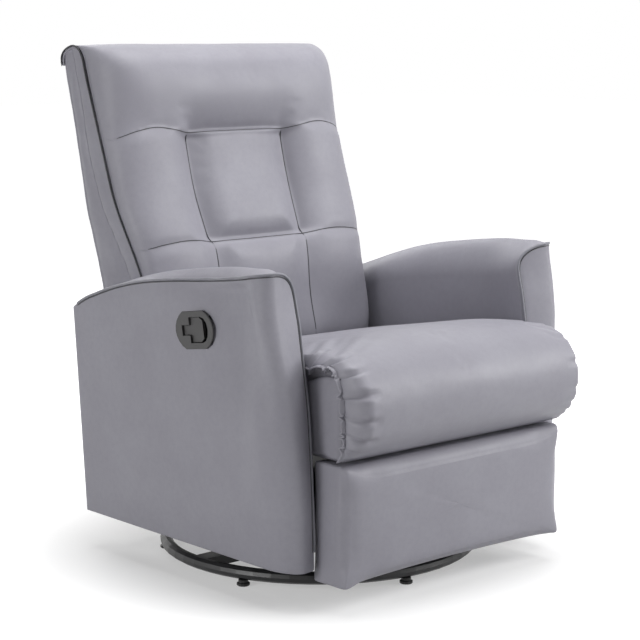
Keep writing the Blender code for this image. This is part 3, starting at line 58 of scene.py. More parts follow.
BLOCK_FRONT_Y, BLOCK_REAR_Y, BLOCK_TOP = -0.400, -0.305, 0.405
ROLL_LOW, ROLL_DEPTH = 0.285, 0.0695
FOOT_HALF, FOOT_LOW, FOOT_TOP, FOOT_REAR_Y, FOOT_THICK = 0.291, 0.054, 0.2805, -0.334, 0.078
SKIN, HAIR = 0.006, 0.0003
SIDES = ((1.0, "left"), (-1.0, "right"))
RIGHT_ANGLE = math.pi / 2
CLOTH_FRAMES, CLOTH_BENDING = 20, 3.0


# Numbers

def lerp(a, b, t):
    return a + (b - a) * t


def smooth(value, low, high):
    t = np.clip((np.asarray(value, float) - low) / (high - low), 0.0, 1.0)
    return t * t * (3.0 - 2.0 * t)


def bump(value, centre, width):
    return np.exp(-((np.asarray(value, float) - centre) / width) ** 2)


def units(rows):
    """Rows of numbers as vectors of length 1."""
    return rows / np.linalg.norm(rows, axis=1)[:, None]


def spline(points, count):
    """Catmull-Rom curve through points, sampled evenly by length."""
    points = np.asarray(points, float)
    padded = np.vstack([2 * points[0] - points[1], points, 2 * points[-1] - points[-2]])
    t = np.linspace(0.0, 1.0, 40, endpoint=False)[:, None]
    fine = []
    for i in range(1, len(padded) - 2):
        a, b, c, d = padded[i - 1:i + 3]
        fine.append(0.5 * (2 * b + (c - a) * t + (2 * a - 5 * b + 4 * c - d) * t ** 2
                           + (3 * b - a - 3 * c + d) * t ** 3))
    return resample(np.vstack(fine + [points[-1:]]), count)


def resample(line, count):
    line = np.asarray(line, float)
    steps = np.linalg.norm(np.diff(line, axis=0), axis=1)
    along = np.concatenate([[0.0], np.cumsum(steps)])
    wanted = np.linspace(0.0, along[-1], count)
    return np.stack([np.interp(wanted, along, column) for column in line.T], axis=1)


def evened(values, reach):
    """Moving average that keeps the length."""
    kernel = np.ones(2 * reach + 1) / (2 * reach + 1)
    return np.convolve(np.pad(values, reach, mode="edge"), kernel, mode="valid")


def evened_path(path, reach):
    return np.stack([evened(column, reach) for column in np.array(path).T], axis=1)


def field(points, scale, seed):
    """Smooth noise from -1 to 1 at each point."""
    shift = Vector((seed * 17.3, seed * 5.1, seed * 9.7))
    return np.array([noise.noise(Vector(p) * scale + shift) for p in points])


# Meshes

def linked(name, mesh):
    thing = bpy.data.objects.new(name, mesh)
    bpy.context.scene.collection.objects.link(thing)
    return thing


def made(name, points, faces):
    mesh = bpy.data.meshes.new(name)
    mesh.from_pydata([tuple(map(float, p)) for p in points], [], faces)
    mesh.update()
    return linked(name, mesh)


def cube(name, size, centre, turn=Matrix(), bevel=0.0):
    """Box, turned about its centre, with edges rounded by the bevel."""
    shape = bmesh.new()
    bmesh.ops.create_cube(shape, size=1.0)
    for vert in shape.verts:
        vert.co = turn @ Vector([a * b for a, b in zip(vert.co, size)]) + centre
    if bevel:
        bmesh.ops.bevel(shape, geom=list(shape.edges), offset=bevel, segments=5, affect="EDGES", profile=0.5)
    mesh = bpy.data.meshes.new(name)
    shape.to_mesh(mesh)
    shape.free()
    return linked(name, mesh)


def outward(thing, merge=True):
    """Turns the faces outward. Points in one place become one, unless merge is off."""
    shape = bmesh.new()
    shape.from_mesh(thing.data)
    if merge:
        bmesh.ops.remove_doubles(shape, verts=shape.verts, dist=1e-6)
    bmesh.ops.recalc_face_normals(shape, faces=shape.faces)
    shape.to_mesh(thing.data)
    shape.free()
    thing.data.shade_smooth()
    return thing


def triples(items, key):
    found = np.empty(len(items) * 3)
    items.foreach_get(key, found)
    return found.reshape(-1, 3)


def places(thing):
    return triples(thing.data.vertices, "co")


def normals(thing):
    return triples(thing.data.vertex_normals, "vector")


def put(thing, points):
    thing.data.vertices.foreach_set("co", np.asarray(points, float).ravel())
    thing.data.update()


def sided(thing, outside):
    """Turns a sheet so that its normals lie along the directions given. Returns its points and normals."""
    normal = normals(thing)
    if (normal * outside).sum(1).mean() < 0:
        thing.data.flip_normals()
        normal = -normal
    return places(thing), normal


def surface_of(thing):
    return BVHTree.FromPolygons([tuple(p) for p in places(thing)], [tuple(p.vertices) for p in thing.data.polygons])


def changed(thing, kind, **settings):
    """Applies one modifier."""
    change = thing.modifiers.new(kind.lower(), kind)
    for key, value in settings.items():
        setattr(change, key, value)
    graph = bpy.context.evaluated_depsgraph_get()
    mesh = bpy.data.meshes.new_from_object(thing.evaluated_get(graph))
    old = thing.data
    thing.modifiers.clear()
    thing.data = mesh
    mesh.name = thing.name
    bpy.data.meshes.remove(old)


def quads(rows, columns, ring=False, base=0):
    """Faces between neighbours in rows of points. In a ring, the last column also joins the first."""
    faces = []
    for i in range(rows - 1):
        a, b = base + i * columns, base + (i + 1) * columns
        for k in range(columns if ring else columns - 1):
            q = (k + 1) % columns
            faces.append((a + k, a + q, b + q, b + k))
    return faces


def grid(name, points):
    """Sheet over rows and columns of points."""
    return made(name, points.reshape(-1, 3), quads(*points.shape[:2]))


def tube(name, path, radius, sides=10):
    """Round cord along a path, with ends that narrow over two steps."""
    ahead = units(np.gradient(path, axis=0))
    up = Vector((0.0, 0.0, 1.0)) if abs(ahead[0][2]) < 0.9 else Vector((1.0, 0.0, 0.0))
    count = len(path)
    points = []
    for i in range(count):
        t = Vector(ahead[i])
        up = (up - t * up.dot(t)).normalized()
        side = t.cross(up)
        edge = min(1.0, 0.55 + 0.225 * min(i, count - 1 - i))
        points += [Vector(path[i]) + (up * math.cos(a) + side * math.sin(a)) * radius * edge
                   for a in np.linspace(0.0, 2 * math.pi, sides, endpoint=False)]
    faces = quads(count, sides, ring=True)
    faces += [tuple(range(sides)), tuple(range((count - 1) * sides, count * sides))]
    return outward(made(name, points, faces))


def inflate(thing, held, pressure, cap, tension):
    """Swells a mesh with Blender's cloth. held is how firmly each point stays, and no point moves over the cap,
    which is one number or one for each point."""
    before = places(thing)
    group = thing.vertex_groups.new(name="held")
    for i, weight in enumerate(held):
        if weight > 0.0:
            group.add([i], float(weight), "REPLACE")
    cloth = thing.modifiers.new("cloth", "CLOTH")
    given = dict(quality=5, mass=0.3, air_damping=4.0, tension_stiffness=tension, compression_stiffness=tension,
                 shear_stiffness=tension / 2, bending_stiffness=CLOTH_BENDING, use_pressure=True,
                 uniform_pressure_force=pressure, vertex_group_mass="held")
    for key, value in given.items():
        setattr(cloth.settings, key, value)
    cloth.settings.effector_weights.gravity = 0.0
    cloth.collision_settings.use_collision = False
    cloth.collision_settings.use_self_collision = False
    cloth.point_cache.frame_start = 1
    cloth.point_cache.frame_end = CLOTH_FRAMES
    for f in range(1, CLOTH_FRAMES + 1):
        bpy.context.scene.frame_set(f)
    after = places(thing.evaluated_get(bpy.context.evaluated_depsgraph_get()))
    thing.modifiers.clear()
    thing.vertex_groups.clear()
    move = after - before
    length = np.linalg.norm(move, axis=1)
    limit = cap * np.tanh(length / np.maximum(cap, 1e-6)) / np.maximum(length, 1e-9)
    put(thing, before + move * limit[:, None])
    bpy.context.scene.frame_set(1)


def mark(thing, seam=0.0, worn=0.0):
    """Two numbers at each point that the leather reads: how much painted shade darkens it at seams, creases and gaps,
    and how worn it is.
    """
    for name, values in (("seam", seam), ("worn", worn)):
        layer = thing.data.attributes.new(name, "FLOAT", "POINT")
        layer.data.foreach_set("value", np.full(len(thing.data.vertices), values, np.float32))


# Materials

class Nodes:
    """Short way to build the nodes of a material or a world."""

    def __init__(self, owner, output="ShaderNodeOutputMaterial"):
        owner.use_nodes = True
        self.owner, self.tree = owner, owner.node_tree
        self.tree.nodes.clear()
        self.out = self.add(output)

    def feed(self, socket, value):
        """Gives a socket a number, a colour or a scale, or the output of another node."""
        if isinstance(value, (int, float)):
            socket.default_value = value
        elif isinstance(value, tuple):
            socket.default_value = (*value, 1.0)[:len(socket.default_value)]
        else:
            self.tree.links.new(value, socket)

    def add(self, kind, inputs=None, **settings):
        node = self.tree.nodes.new(kind)
        for key, value in settings.items():
            setattr(node, key, value)
        for key, value in (inputs or {}).items():
            self.feed(node.inputs[key], value)
        return node

    def where(self, stretch=None):
        """Place on the object, stretched or not."""
        found = self.tree.nodes.get("where") or self.add("ShaderNodeTexCoord", name="where")
        if stretch is None:
            return found.outputs["Object"]
        return self.add("ShaderNodeMapping", {"Vector": found.outputs["Object"], "Scale": stretch}).outputs[0]

    def noise(self, scale, detail=3.0, roughness=0.55, stretch=None):
        inputs = {"Scale": scale, "Detail": detail, "Roughness": roughness, "Vector": self.where(stretch)}
        return self.add("ShaderNodeTexNoise", inputs).outputs[0]

    def cells(self, scale, **smoothness):
        feature = "SMOOTH_F1" if smoothness else "F1"
        inputs = {"Scale": scale, "Vector": self.where(), **smoothness}
        return self.add("ShaderNodeTexVoronoi", inputs, feature=feature).outputs["Distance"]

    def ramp(self, source, low, high, to_low=0.0, to_high=1.0):
        inputs = {"Value": source, "From Min": low, "From Max": high, "To Min": to_low, "To Max": to_high}
        return self.add("ShaderNodeMapRange", inputs, interpolation_type="SMOOTHSTEP").outputs[0]

    def math(self, operation, a, b):
        return self.add("ShaderNodeMath", {0: a, 1: b}, operation=operation).outputs[0]

    def mix(self, share, a, b):
        return self.add("ShaderNodeMix", {0: share, 6: a, 7: b}, data_type="RGBA").outputs[2]

    def attribute(self, name):
        return self.add("ShaderNodeAttribute", attribute_name=name).outputs["Fac"]

    def bumps(self, *layers):
        """Chain of bumps: each is a height, a strength and a depth in metres."""
        last = {}
        for height, strength, depth in layers:
            inputs = {"Height": height, "Strength": strength, "Distance": depth, **last}
            last = {"Normal": self.add("ShaderNodeBump", inputs).outputs[0]}
        return last["Normal"]

    def seen(self):
        """1 for what the camera sees, directly or in gloss and glass."""
        rays = self.add("ShaderNodeLightPath").outputs
        total = rays["Is Camera Ray"]
        for name in ("Is Glossy Ray", "Is Transmission Ray"):
            total = self.math("MAXIMUM", total, rays[name])
        return total

    def show(self, shader):
        self.feed(self.out.inputs["Surface"], shader.outputs[0])
        return self.owner

    def surface(self, **values):
        """Material with the values as inputs of its shader."""
        inputs = {key.replace("_", " "): value for key, value in values.items()}
        return self.show(self.add("ShaderNodeBsdfPrincipled", inputs))


def material(name):
    return Nodes(bpy.data.materials.get(name) or bpy.data.materials.new(name))


def tinted(colour, factor, plus=0.0):
    return tuple(c * factor + plus for c in colour)


def leather(name, light, dark, seam=True):
    """Coated upholstery leather: pebbled grain, faint creases, a cloudy tone, painted shade at seams, creases and gaps,
    and lighter wear beside the seams.
    """
    n = material(name)
    cloud = n.noise(7.0, 4.0)
    fine = n.noise(90.0, 3.0)
    pebble = n.cells(820.0, Smoothness=0.35)
    tone = n.mix(n.ramp(cloud, 0.30, 0.72), dark, light)
    tone = n.mix(n.ramp(fine, 0.35, 0.75, 0.0, 0.16), tone, tinted(dark, 0.72))
    tone = n.mix(n.ramp(pebble, 0.10, 0.75, 0.0, 0.16), tone, tinted(light, 1.12))
    if seam:
        # Painted shade: the seam number darkens the tone where seams, creases and gaps fall in shadow
        tone = n.mix(n.ramp(n.attribute("seam"), 0.15, 1.0, 0.0, 0.62), tone, tinted(dark, 0.30))
        worn = n.math("MULTIPLY", n.attribute("worn"), n.ramp(fine, 0.35, 0.65, 0.2, 1.0))
        tone = n.mix(n.ramp(worn, 0.0, 1.0, 0.0, 0.30), tone, tinted(light, 1.20))
    rough = n.ramp(n.noise(26.0, 4.0), 0.25, 0.8, 0.43, 0.55)
    creases = n.noise(38.0, 5.0, 0.62, (1.0, 1.0, 1.6))
    grain = n.bumps((creases, 0.10, 0.0012), (fine, 0.14, 0.0006), (pebble, 0.30, 0.00035))
    return n.surface(Base_Color=tone, Roughness=rough, Specular_IOR_Level=0.36, Normal=grain)


def painted_steel(name, colour, rough):
    """Powder-coated steel with orange peel and a dusty, lighter cloud."""
    n = material(name)
    dust = n.noise(16.0, 5.0)
    tone = n.mix(n.ramp(dust, 0.40, 0.80, 0.0, 0.35), colour, tinted(colour, 2.2, 0.006))
    peel = n.bumps((n.cells(420.0, Smoothness=0.6), 0.22, 0.0003), (n.noise(60.0, 3.0), 0.12, 0.0006))
    return n.surface(Base_Color=tone, Roughness=n.ramp(dust, 0.25, 0.8, rough - 0.07, rough + 0.12),
                     Specular_IOR_Level=0.5, Normal=peel)


def zinc_steel(name, colour, stretch):
    """Bright plated steel with drawn scratches and cloudy spangle."""
    n = material(name)
    drawn = n.noise(260.0, 3.0, 0.6, stretch)
    tone = n.mix(n.ramp(n.cells(140.0), 0.1, 0.8, 0.0, 0.45), colour, tinted(colour, 0.72))
    tone = n.mix(n.ramp(n.noise(24.0, 5.0), 0.55, 0.8, 0.0, 0.4), tone, tinted(colour, 0.5))
    return n.surface(Base_Color=tone, Metallic=1.0, Roughness=n.ramp(drawn, 0.2, 0.8, 0.28, 0.46),
                     Normal=n.bumps((drawn, 0.16, 0.0003), (n.noise(70.0), 0.10, 0.0008)))


def plywood(name):
    """Birch board with long grain and dark pores."""
    n = material(name)
    grain = n.noise(9.0, 6.0, 0.65, (1.2, 14.0, 30.0))
    pores = n.noise(60.0, 4.0, 0.6, (1.0, 20.0, 34.0))
    tone = n.mix(n.ramp(grain, 0.30, 0.72), (0.47, 0.32, 0.175), (0.66, 0.50, 0.31))
    tone = n.mix(n.ramp(pores, 0.52, 0.75, 0.0, 0.5), tone, (0.30, 0.18, 0.09))
    return n.surface(Base_Color=tone, Roughness=n.ramp(grain, 0.2, 0.8, 0.55, 0.72),
                     Normal=n.bumps((grain, 0.18, 0.0008), (pores, 0.25, 0.0004)))


def moulded_plastic(name, colour, rough):
    """Moulded plastic with a fine spark-eroded texture and a little handling shine."""
    n = material(name)
    rub = n.noise(40.0, 4.0)
    tone = n.mix(n.ramp(rub, 0.35, 0.75, 0.0, 0.6), colour, tinted(colour, 1.5, 0.004))
    return n.surface(Base_Color=tone, Roughness=n.ramp(rub, 0.3, 0.75, rough - 0.06, rough + 0.12),
                     Specular_IOR_Level=0.45,
                     Normal=n.bumps((n.noise(1500.0, 2.0), 0.22, 0.0002), (rub, 0.08, 0.0008)))


LEATHER = leather("grey_leather_worked", (0.296, 0.291, 0.331), (0.268, 0.262, 0.300))
WELT = leather("welt_leather", (0.27, 0.27, 0.30), (0.21, 0.21, 0.24), seam=False)
BLACK_WELT = leather("black_welt", (0.030, 0.030, 0.034), (0.016, 0.016, 0.018), seam=False)
# Near-black leather for thin cords laid in seam creases and beside the arm welts: painted shadow
SEAM_SHADOW_LINE = leather("seam_line", (0.060, 0.059, 0.066), (0.040, 0.040, 0.045), seam=False)
BLACK_STEEL = painted_steel("black_steel_worked", (0.014, 0.014, 0.015), 0.40)
LOOKS = (
    ("plywood", plywood("plywood_worked")),
    ("zinc", zinc_steel("zinc_steel_worked", (0.60, 0.61, 0.63), (0.3, 6.0, 1.0))),
    ("spring", zinc_steel("spring_steel_worked", (0.20, 0.20, 0.22), (1.0, 1.0, 8.0))),
    ("glide", moulded_plastic("glide_plastic", (0.018, 0.018, 0.018), 0.50)),
    ("plastic", moulded_plastic("charcoal_plastic", (0.036, 0.035, 0.036), 0.48)),
    ("leather", LEATHER),
)
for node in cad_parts.values():
    old = node.data.materials[0].name if node.data.materials else ""
    node.data.materials.clear()
    node.data.materials.append(next((look for word, look in LOOKS if word in old), BLACK_STEEL))


def dressed(thing, look, body, *nodes):
    """Last step for a piece: its material, the body that it rides on and the solids that it stands for."""
    thing.data.materials.clear()
    thing.data.materials.append(look)
    for poly in thing.data.polygons:
        poly.material_index = 0
    thing.data.shade_smooth()
    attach(thing, body)
    if nodes:
        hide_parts(*nodes)


# Back

WELT_LINE = np.array([
    (0.030, 0.030), (0.080, 0.058), (0.130, 0.068), (0.180, 0.064), (0.232, 0.057), (0.283, 0.047), (0.372, 0.030),
    (0.4133, 0.024), (0.5154, 0.0130), (0.5616, 0.0075), (0.6416, -0.002), (0.672, -0.005),
])
TOP_FRONT, TOP_APEX, TOP_REAR, FLAP_END = 0.672, 0.7225, 0.700, 0.690


def back_world(x, u, v):
    """Place in the frame from the back's own measures: x across, u up from the hinge and v forward."""
    y = HINGE_Y + SHIFT + u * math.sin(LEAN) - v * math.cos(LEAN)
    z = HINGE_Z + u * math.cos(LEAN) + v * math.sin(LEAN)
    return np.stack([np.broadcast_to(x, np.shape(y)), y, z], axis=-1)


def back_half(u):
    return lerp(SEAT_HALF, SEAT_HALF + 0.018, smooth(u, 0.20, 0.42))


def welt_at(u):
    return np.interp(u, WELT_LINE[:, 0], WELT_LINE[:, 1])


def quarter(start, end, count, power):
    """Rounded corner between two points: leaves the first upward and reaches the second level."""
    a = np.linspace(0.0, RIGHT_ANGLE, count + 1)[1:]
    return np.stack([end[0] + (start[0] - end[0]) * np.cos(a) ** power,
                     start[1] + (end[1] - start[1]) * np.sin(a) ** power], axis=1)


def back_rows():
    """Side view of the back's front skin as rows from its foot over the top to the flap at the rear, as (v, u) at
    the welt and at the crown."""
    front, over, behind, flap = 110, 24, 12, 4
    welt_u = np.linspace(BACK_FOOT, TOP_FRONT, front)
    crown_u = np.linspace(BACK_FOOT, 0.630, front)
    crown_v = 0.083 + 0.021 * bump(crown_u, 0.260, 0.100) + 0.012 * bump(crown_u, 0.625, 0.070)
    foot = np.clip((crown_u - BACK_FOOT) / 0.075, 0.0, 1.0)
    crown_v = lerp(welt_at(crown_u), crown_v, np.sqrt(1 - (1 - foot) ** 2))
    drop = np.linspace(0.0, TOP_REAR - FLAP_END, flap + 1)[1:]
    lines = []
    for v, u, apex, power, rear in ((evened(welt_at(welt_u), 5), welt_u, (-0.040, TOP_APEX), 0.88, -0.0795),
                                    (crown_v, crown_u, (-0.022, TOP_APEX - 0.0065), 0.92, -0.0815)):
        line = np.stack([v, u], axis=1)
        top = quarter(line[-1], apex, over, power)
        # The same corner with its two measures swapped leaves level and falls
        fall = quarter(top[-1, ::-1], (TOP_REAR, rear), behind, 0.9)[:, ::-1]
        end = np.stack([np.full(flap, rear - 0.001), TOP_REAR - drop], axis=1)
        lines.append(np.vstack([line, top, fall, end]))
    return lines


def head_line(x, half):
    """Height of the upper cross seam. It arches over each bolster."""
    share = np.abs(x) / half
    return HEAD_SEAM + 0.011 * bump(share, 0.70, 0.17) - 0.006 * smooth(share, 0.84, 1.0)


def lumbar_line(x, half):
    share = np.abs(x) / half
    return LUMBAR_SEAM + 0.006 * bump(share, 0.66, 0.18) - 0.004 * smooth(share, 0.84, 1.0)


def back_relief(x, u, half):
    """How far the skin lies behind its crown: sewn valleys, a sunk middle panel and panels turned in to the seams."""
    side = SIDE_SEAM_SHARE * half
    away = np.abs(x) - side
    above_head = u - head_line(x, half)
    above_lumbar = u - lumbar_line(x, half)
    middle = 1 - smooth(away, -0.004, 0.004)
    below_head = 1 - smooth(above_head, -0.006, 0.004)
    upper = smooth(above_lumbar, -0.012, 0.012)

    def turned(above, reach):
        """Falls from 1 at a seam to 0 at a reach over it."""
        return np.clip(1 - above / reach, 0.0, 1.0) ** 2

    # Valley along the upright seams, wider on the bolsters
    depth = lerp(0.0150, 0.0360, upper) * below_head * smooth(u, 0.02, 0.20)
    flank = turned(away + 0.002, 0.078)
    sunk = lerp(0.0015, lerp(0.0050, 0.0160, smooth(u, 0.36, 0.50)), upper) * below_head
    valley = np.where(away > 0, depth * flank, lerp(depth * 0.92, sunk, smooth(-away, -0.004, 0.058)))
    # The head panel turns in above its seam, most of all over the middle panel
    turn = lerp(0.0080, 0.0320, 1 - smooth(away, -0.015, 0.030))
    over_head = turn * turned(above_head, 0.085) * smooth(above_head, -0.003, 0.002)
    under_head = 0.0050 * (1 - middle) * bump(np.minimum(above_head, 0), 0, 0.014) * (1 - smooth(above_head, 0, 0.004))
    # The cross seam at the lumbar
    over_lumbar = lerp(0.0045, 0.0290, middle) * turned(above_lumbar, lerp(0.022, 0.070, middle))
    over_lumbar = over_lumbar * smooth(above_lumbar, -0.003, 0.002)
    under_lumbar = lerp(0.0050, 0.0100, middle) * turned(-above_lumbar, lerp(0.030, 0.060, middle))
    under_lumbar = under_lumbar * (1 - smooth(above_lumbar, 0, 0.004))
    return np.max([valley, over_head, under_head, over_lumbar, under_lumbar], axis=0)


def make_back_cushion():
    welt, crown = back_rows()
    half_columns = np.concatenate([
        np.linspace(0.0, SIDE_SEAM_SHARE, 24),
        np.linspace(SIDE_SEAM_SHARE, 0.78, 22)[1:],
        1.0 - 0.22 * np.cos(np.linspace(0.0, RIGHT_ANGLE, 24))[1:],
    ])
    columns = np.concatenate([-half_columns[:0:-1], half_columns])
    flat = np.zeros((len(welt), len(columns), 3))
    for i, (low, high) in enumerate(zip(welt, crown)):
        half = back_half(low[1])
        x = columns * half
        depth = np.clip((1 - np.abs(columns)) * half / BACK_SHOULDER, 0.0, 1.0)
        rise = np.maximum(1 - (1 - depth) ** BACK_POWER, 0.0) ** (1 / BACK_POWER)
        v, u = lerp(low[:, None], high[:, None], rise)
        v = v - smooth(high[0], 0.02, 0.07) * rise * back_relief(x, u, half)
        flat[i] = np.stack([x, u, v], axis=1)
    x, u, v = flat.reshape(-1, 3).T
    thing = grid("back_cushion_skin", back_world(x, u, v).reshape(flat.shape))
    half = back_half(u)
    head = np.abs(u - head_line(x, half))
    lumbar = np.abs(u - lumbar_line(x, half))
    upright = np.abs(np.abs(x) - SIDE_SEAM_SHARE * half)
    below_head = 1 - smooth(u, HEAD_SEAM - 0.006, HEAD_SEAM)
    front = smooth(v, 0.0, 0.02)

    def beside(away, width, upright_away, upright_width):
        """1 on the lines at a distance from the seams, less beside them."""
        across = np.maximum(bump(head, away, width), bump(lumbar, away, width))
        return np.maximum(across, bump(upright, upright_away, upright_width) * below_head) * front

    seam = beside(0.0, 0.0040, 0.0, 0.0038)
    held = np.where(seam > 0.45, 1.0, 0.0).reshape(flat.shape[:2])
    held[:3] = held[-5:] = 1.0
    held[:, :2] = held[:, -2:] = 1.0
    inflate(thing, held.ravel(), 3.0, lerp(0.0040, 0.0005, smooth(u, 0.590, 0.670)), 18.0)
    changed(thing, "SMOOTH", factor=0.5, iterations=2)
    # Puckers beside the seams, and slow unevenness
    point, normal = places(thing), normals(thing)
    ripple = field(point * np.array([1.0, 0.35, 1.0]), 58.0, 3)
    near = beside(0.010, 0.012, 0.009, 0.011)
    rim = bump((1 - np.abs(x) / half) * half, 0.012, 0.014) * smooth(v, -0.03, 0.0)
    sag = field(point, 9.0, 8)
    put(thing, point + normal * (0.0005 * ripple * near + 0.0006 * ripple * rim + 0.0010 * sag * front)[:, None])
    # Painted shade along the seams, with lighter wear beside them and high on the head panel
    mark(thing, 0.55 * seam, np.clip(near * 0.5 + 0.4 * bump(u, 0.60, 0.05), 0, 1))
    changed(thing, "SUBSURF", levels=1, render_levels=1)
    sew_back(thing)
    changed(thing, "SOLIDIFY", thickness=SKIN, offset=-1.0)
    outward(thing)
    dressed(thing, LEATHER, "back", "back_cushion")
    for side, name in SIDES:
        path = [back_world(side * (back_half(u) + 0.0008), u, v) for v, u in welt[2:]]
        dressed(tube("back_welt_" + name, resample(path, 220), 0.0016), BLACK_WELT, "back")


def sew_back(skin):
    """Thin dark cords laid on the skin where the panels of the back are sewn: painted shadow in the seams' creases."""
    surface = surface_of(skin)
    ahead = Vector(back_world(0.0, 0.0, -1.0) - back_world(0.0, 0.0, 0.0))
    lines = {}
    for name, height, line in (("head", HEAD_SEAM, head_line), ("lumbar", LUMBAR_SEAM, lumbar_line)):
        wide = back_half(height)
        lines[name] = [(s * wide, line(s * wide, wide)) for s in np.linspace(-0.982, 0.982, 150)]
    for side, name in SIDES:
        heights = np.linspace(0.075, HEAD_SEAM - 0.001, 110)
        lines[name] = [(side * SIDE_SEAM_SHARE * back_half(u), u) for u in heights]
    for name, line in lines.items():
        hits = [surface.ray_cast(Vector(back_world(x, u, 0.25)), ahead)[0] for x, u in line]
        path = evened_path([hit + ahead * 0.0001 for hit in hits if hit], 2)
        dressed(tube("back_seam_" + name, resample(path, max(40, len(path))), 0.0011, 8), SEAM_SHADOW_LINE, "back")


def domed(t):
    return (1 - min(t, 1.0) ** 2.2) ** (1 / 2.2)


def make_back_cover():
    """Outside of the back: a gusset of two strips on each side, round corners and a rear panel."""
    low, high = -0.050, TOP_APEX - 0.0035
    rows, wall, corner, panel = 140, 26, 8, 58
    points = np.zeros((rows, 2 * (wall + corner) + panel, 3))
    seam = np.zeros(points.shape[:2])
    t, p = np.linspace(0.0, 1.0, wall), np.linspace(1.0, -1.0, panel)
    a = np.linspace(0.0, RIGHT_ANGLE, corner + 2)[1:-1]
    heights = low + (high - low) * np.sin(np.linspace(0.0, RIGHT_ANGLE, rows)) ** 0.9
    for i, u in enumerate(heights):
        half = back_half(u)
        welt = lerp(-0.030, welt_at(max(u, 0.13)), smooth(u, low, 0.13))
        rear = -0.078 - 0.015 * (1 - smooth(u, 0.16, 0.50))
        if u > TOP_FRONT - 0.003:
            welt = -0.040 + 0.034 * domed((u - TOP_FRONT + 0.003) / (TOP_APEX - TOP_FRONT))
        if u > FLAP_END:
            rear = -0.040 - 0.036 * domed((u - FLAP_END) / (TOP_APEX - FLAP_END))
        radius = min(0.014, (welt - rear) / 3)
        # The gusset's two strips, each a little full
        strip = np.interp(u, [0.0, 0.20, 0.30, 0.50, 0.66], [0.20, 0.26, 0.36, 0.62, 0.52])
        fullness = 0.0040 * (1 - smooth(u, 0.64, 0.70))
        puff = fullness * np.where(t < strip, np.sin(math.pi * t / strip), np.sin(math.pi * (t - strip) / (1 - strip)))
        puff = np.abs(puff) ** 0.8 * fullness ** 0.2 - 0.0015 * bump(t, strip, 0.030)
        x = np.concatenate([half - 0.0012 + puff, half - radius + radius * np.cos(a)])
        v = np.concatenate([lerp(welt, rear + radius, t), rear + radius - radius * np.sin(a)])
        crown = 0.006 * (1 - np.abs(p) ** 3) * smooth(u, low, 0.05) * (1 - smooth(u, 0.60, 0.68))
        tuck = 0.0045 * smooth(u, 0.660, 0.690)
        panel_v = rear - crown + tuck * (1 - np.abs(p) ** 8) + 0.0025 * bump(np.abs(p), 1.0, 0.02)
        points[i] = back_world(np.concatenate([x, p * (half - radius), -x[::-1]]), u,
                               np.concatenate([v, panel_v, v[::-1]]))
        line, none = bump(t, strip, 0.025), np.zeros(corner)
        seam[i] = np.concatenate([line, none, bump(np.abs(p), 1.0, 0.012), none, line[::-1]])
    thing = outward(grid("back_outside", points), merge=False)
    point = places(thing)
    point, normal = sided(thing, point - point.mean(0))
    sag = field(point, 11.0, 5)
    fine = field(point * np.array([1.0, 1.0, 0.6]), 42.0, 6)
    put(thing, point + normal * (0.0016 * sag + (0.0005 + 0.0009 * normal[:, 0] ** 2) * fine)[:, None])
    # Painted shade along the gusset's seams and the edges of the rear panel
    mark(thing, 0.7 * seam.ravel())
    changed(thing, "SOLIDIFY", thickness=SKIN, offset=-1.0)
    outward(thing)
    dressed(thing, LEATHER, "back", "back_cover")


# Seat

GATHER_LINE = np.array([
    (-0.296, 0.448), (-0.321, 0.450), (-0.349, 0.458), (-0.375, 0.460), (-0.394, 0.456), (-0.406, 0.440),
    (-0.412, 0.420), (-0.417, 0.400), (-0.4195, 0.373), (-0.421, 0.348), (-0.421, 0.330), (-0.417, 0.310),
    (-0.410, 0.296), (-0.403, 0.289),
])
# Where each pleat is along the gathered line, how deep and how wide it is
PLEATS = ((0.10, 0.9, 0.0055), (0.27, 1.0, 0.0060), (0.405, 0.9, 0.0050), (0.535, 1.25, 0.0060),
          (0.675, 1.15, 0.0058), (0.790, 1.05, 0.0052), (0.885, 0.8, 0.0050))
# The two ends of the roll: how far its edge turns in, and how deep its pleats are
END_TURN = {1.0: 0.017, -1.0: 0.029}
END_PLEAT = {1.0: 0.0060, -1.0: 0.0210}


def seat_underside(y):
    t = np.clip((y - BLOCK_REAR_Y) / (SEAT_REAR_Y - BLOCK_REAR_Y), 0.0, 1.0)
    return lerp(BLOCK_TOP + HAIR, SEAT_REAR_LOW, t)


def seat_path():
    """Side view of the seat's skin as (y, z), from the rear over the roll to its lower edge."""
    face = BLOCK_FRONT_Y - HAIR
    nose, crest = face - ROLL_DEPTH, BLOCK_TOP + 0.072
    ry, rz = 0.105, (crest - ROLL_LOW) / 2
    centre = (nose + ry, ROLL_LOW + rz)
    line = [(SEAT_REAR_Y, SEAT_REAR_LOW + 0.030), (SEAT_REAR_Y - 0.003, SEAT_REAR_LOW + 0.050)]
    for t in np.linspace(0.0, 1.0, 12):
        y = lerp(SEAT_REAR_Y - 0.014, centre[0] + 0.045, t)
        line.append((y, seat_underside(y) + lerp(0.062, 0.072, t)))
    for a in np.radians(np.linspace(84.0, 250.0, 40)):
        c, s = (math.copysign(abs(f(a)) ** 0.96, f(a)) for f in (math.cos, math.sin))
        line.append((centre[0] + ry * c, centre[1] + rz * s))
    line = [p for p in line if p[0] < face or p[1] > BLOCK_TOP]
    line.append((face - 0.001, ROLL_LOW + 0.003))
    return spline(line, 150)


def turned_in(path, at, centre):
    """Normals of a side view. The one at a given place points towards the centre."""
    step = units(np.gradient(path, axis=0))
    inner = np.stack([-step[:, 1], step[:, 0]], axis=1)
    return -inner if ((np.array(centre) - path[at]) * inner[at]).sum() < 0 else inner


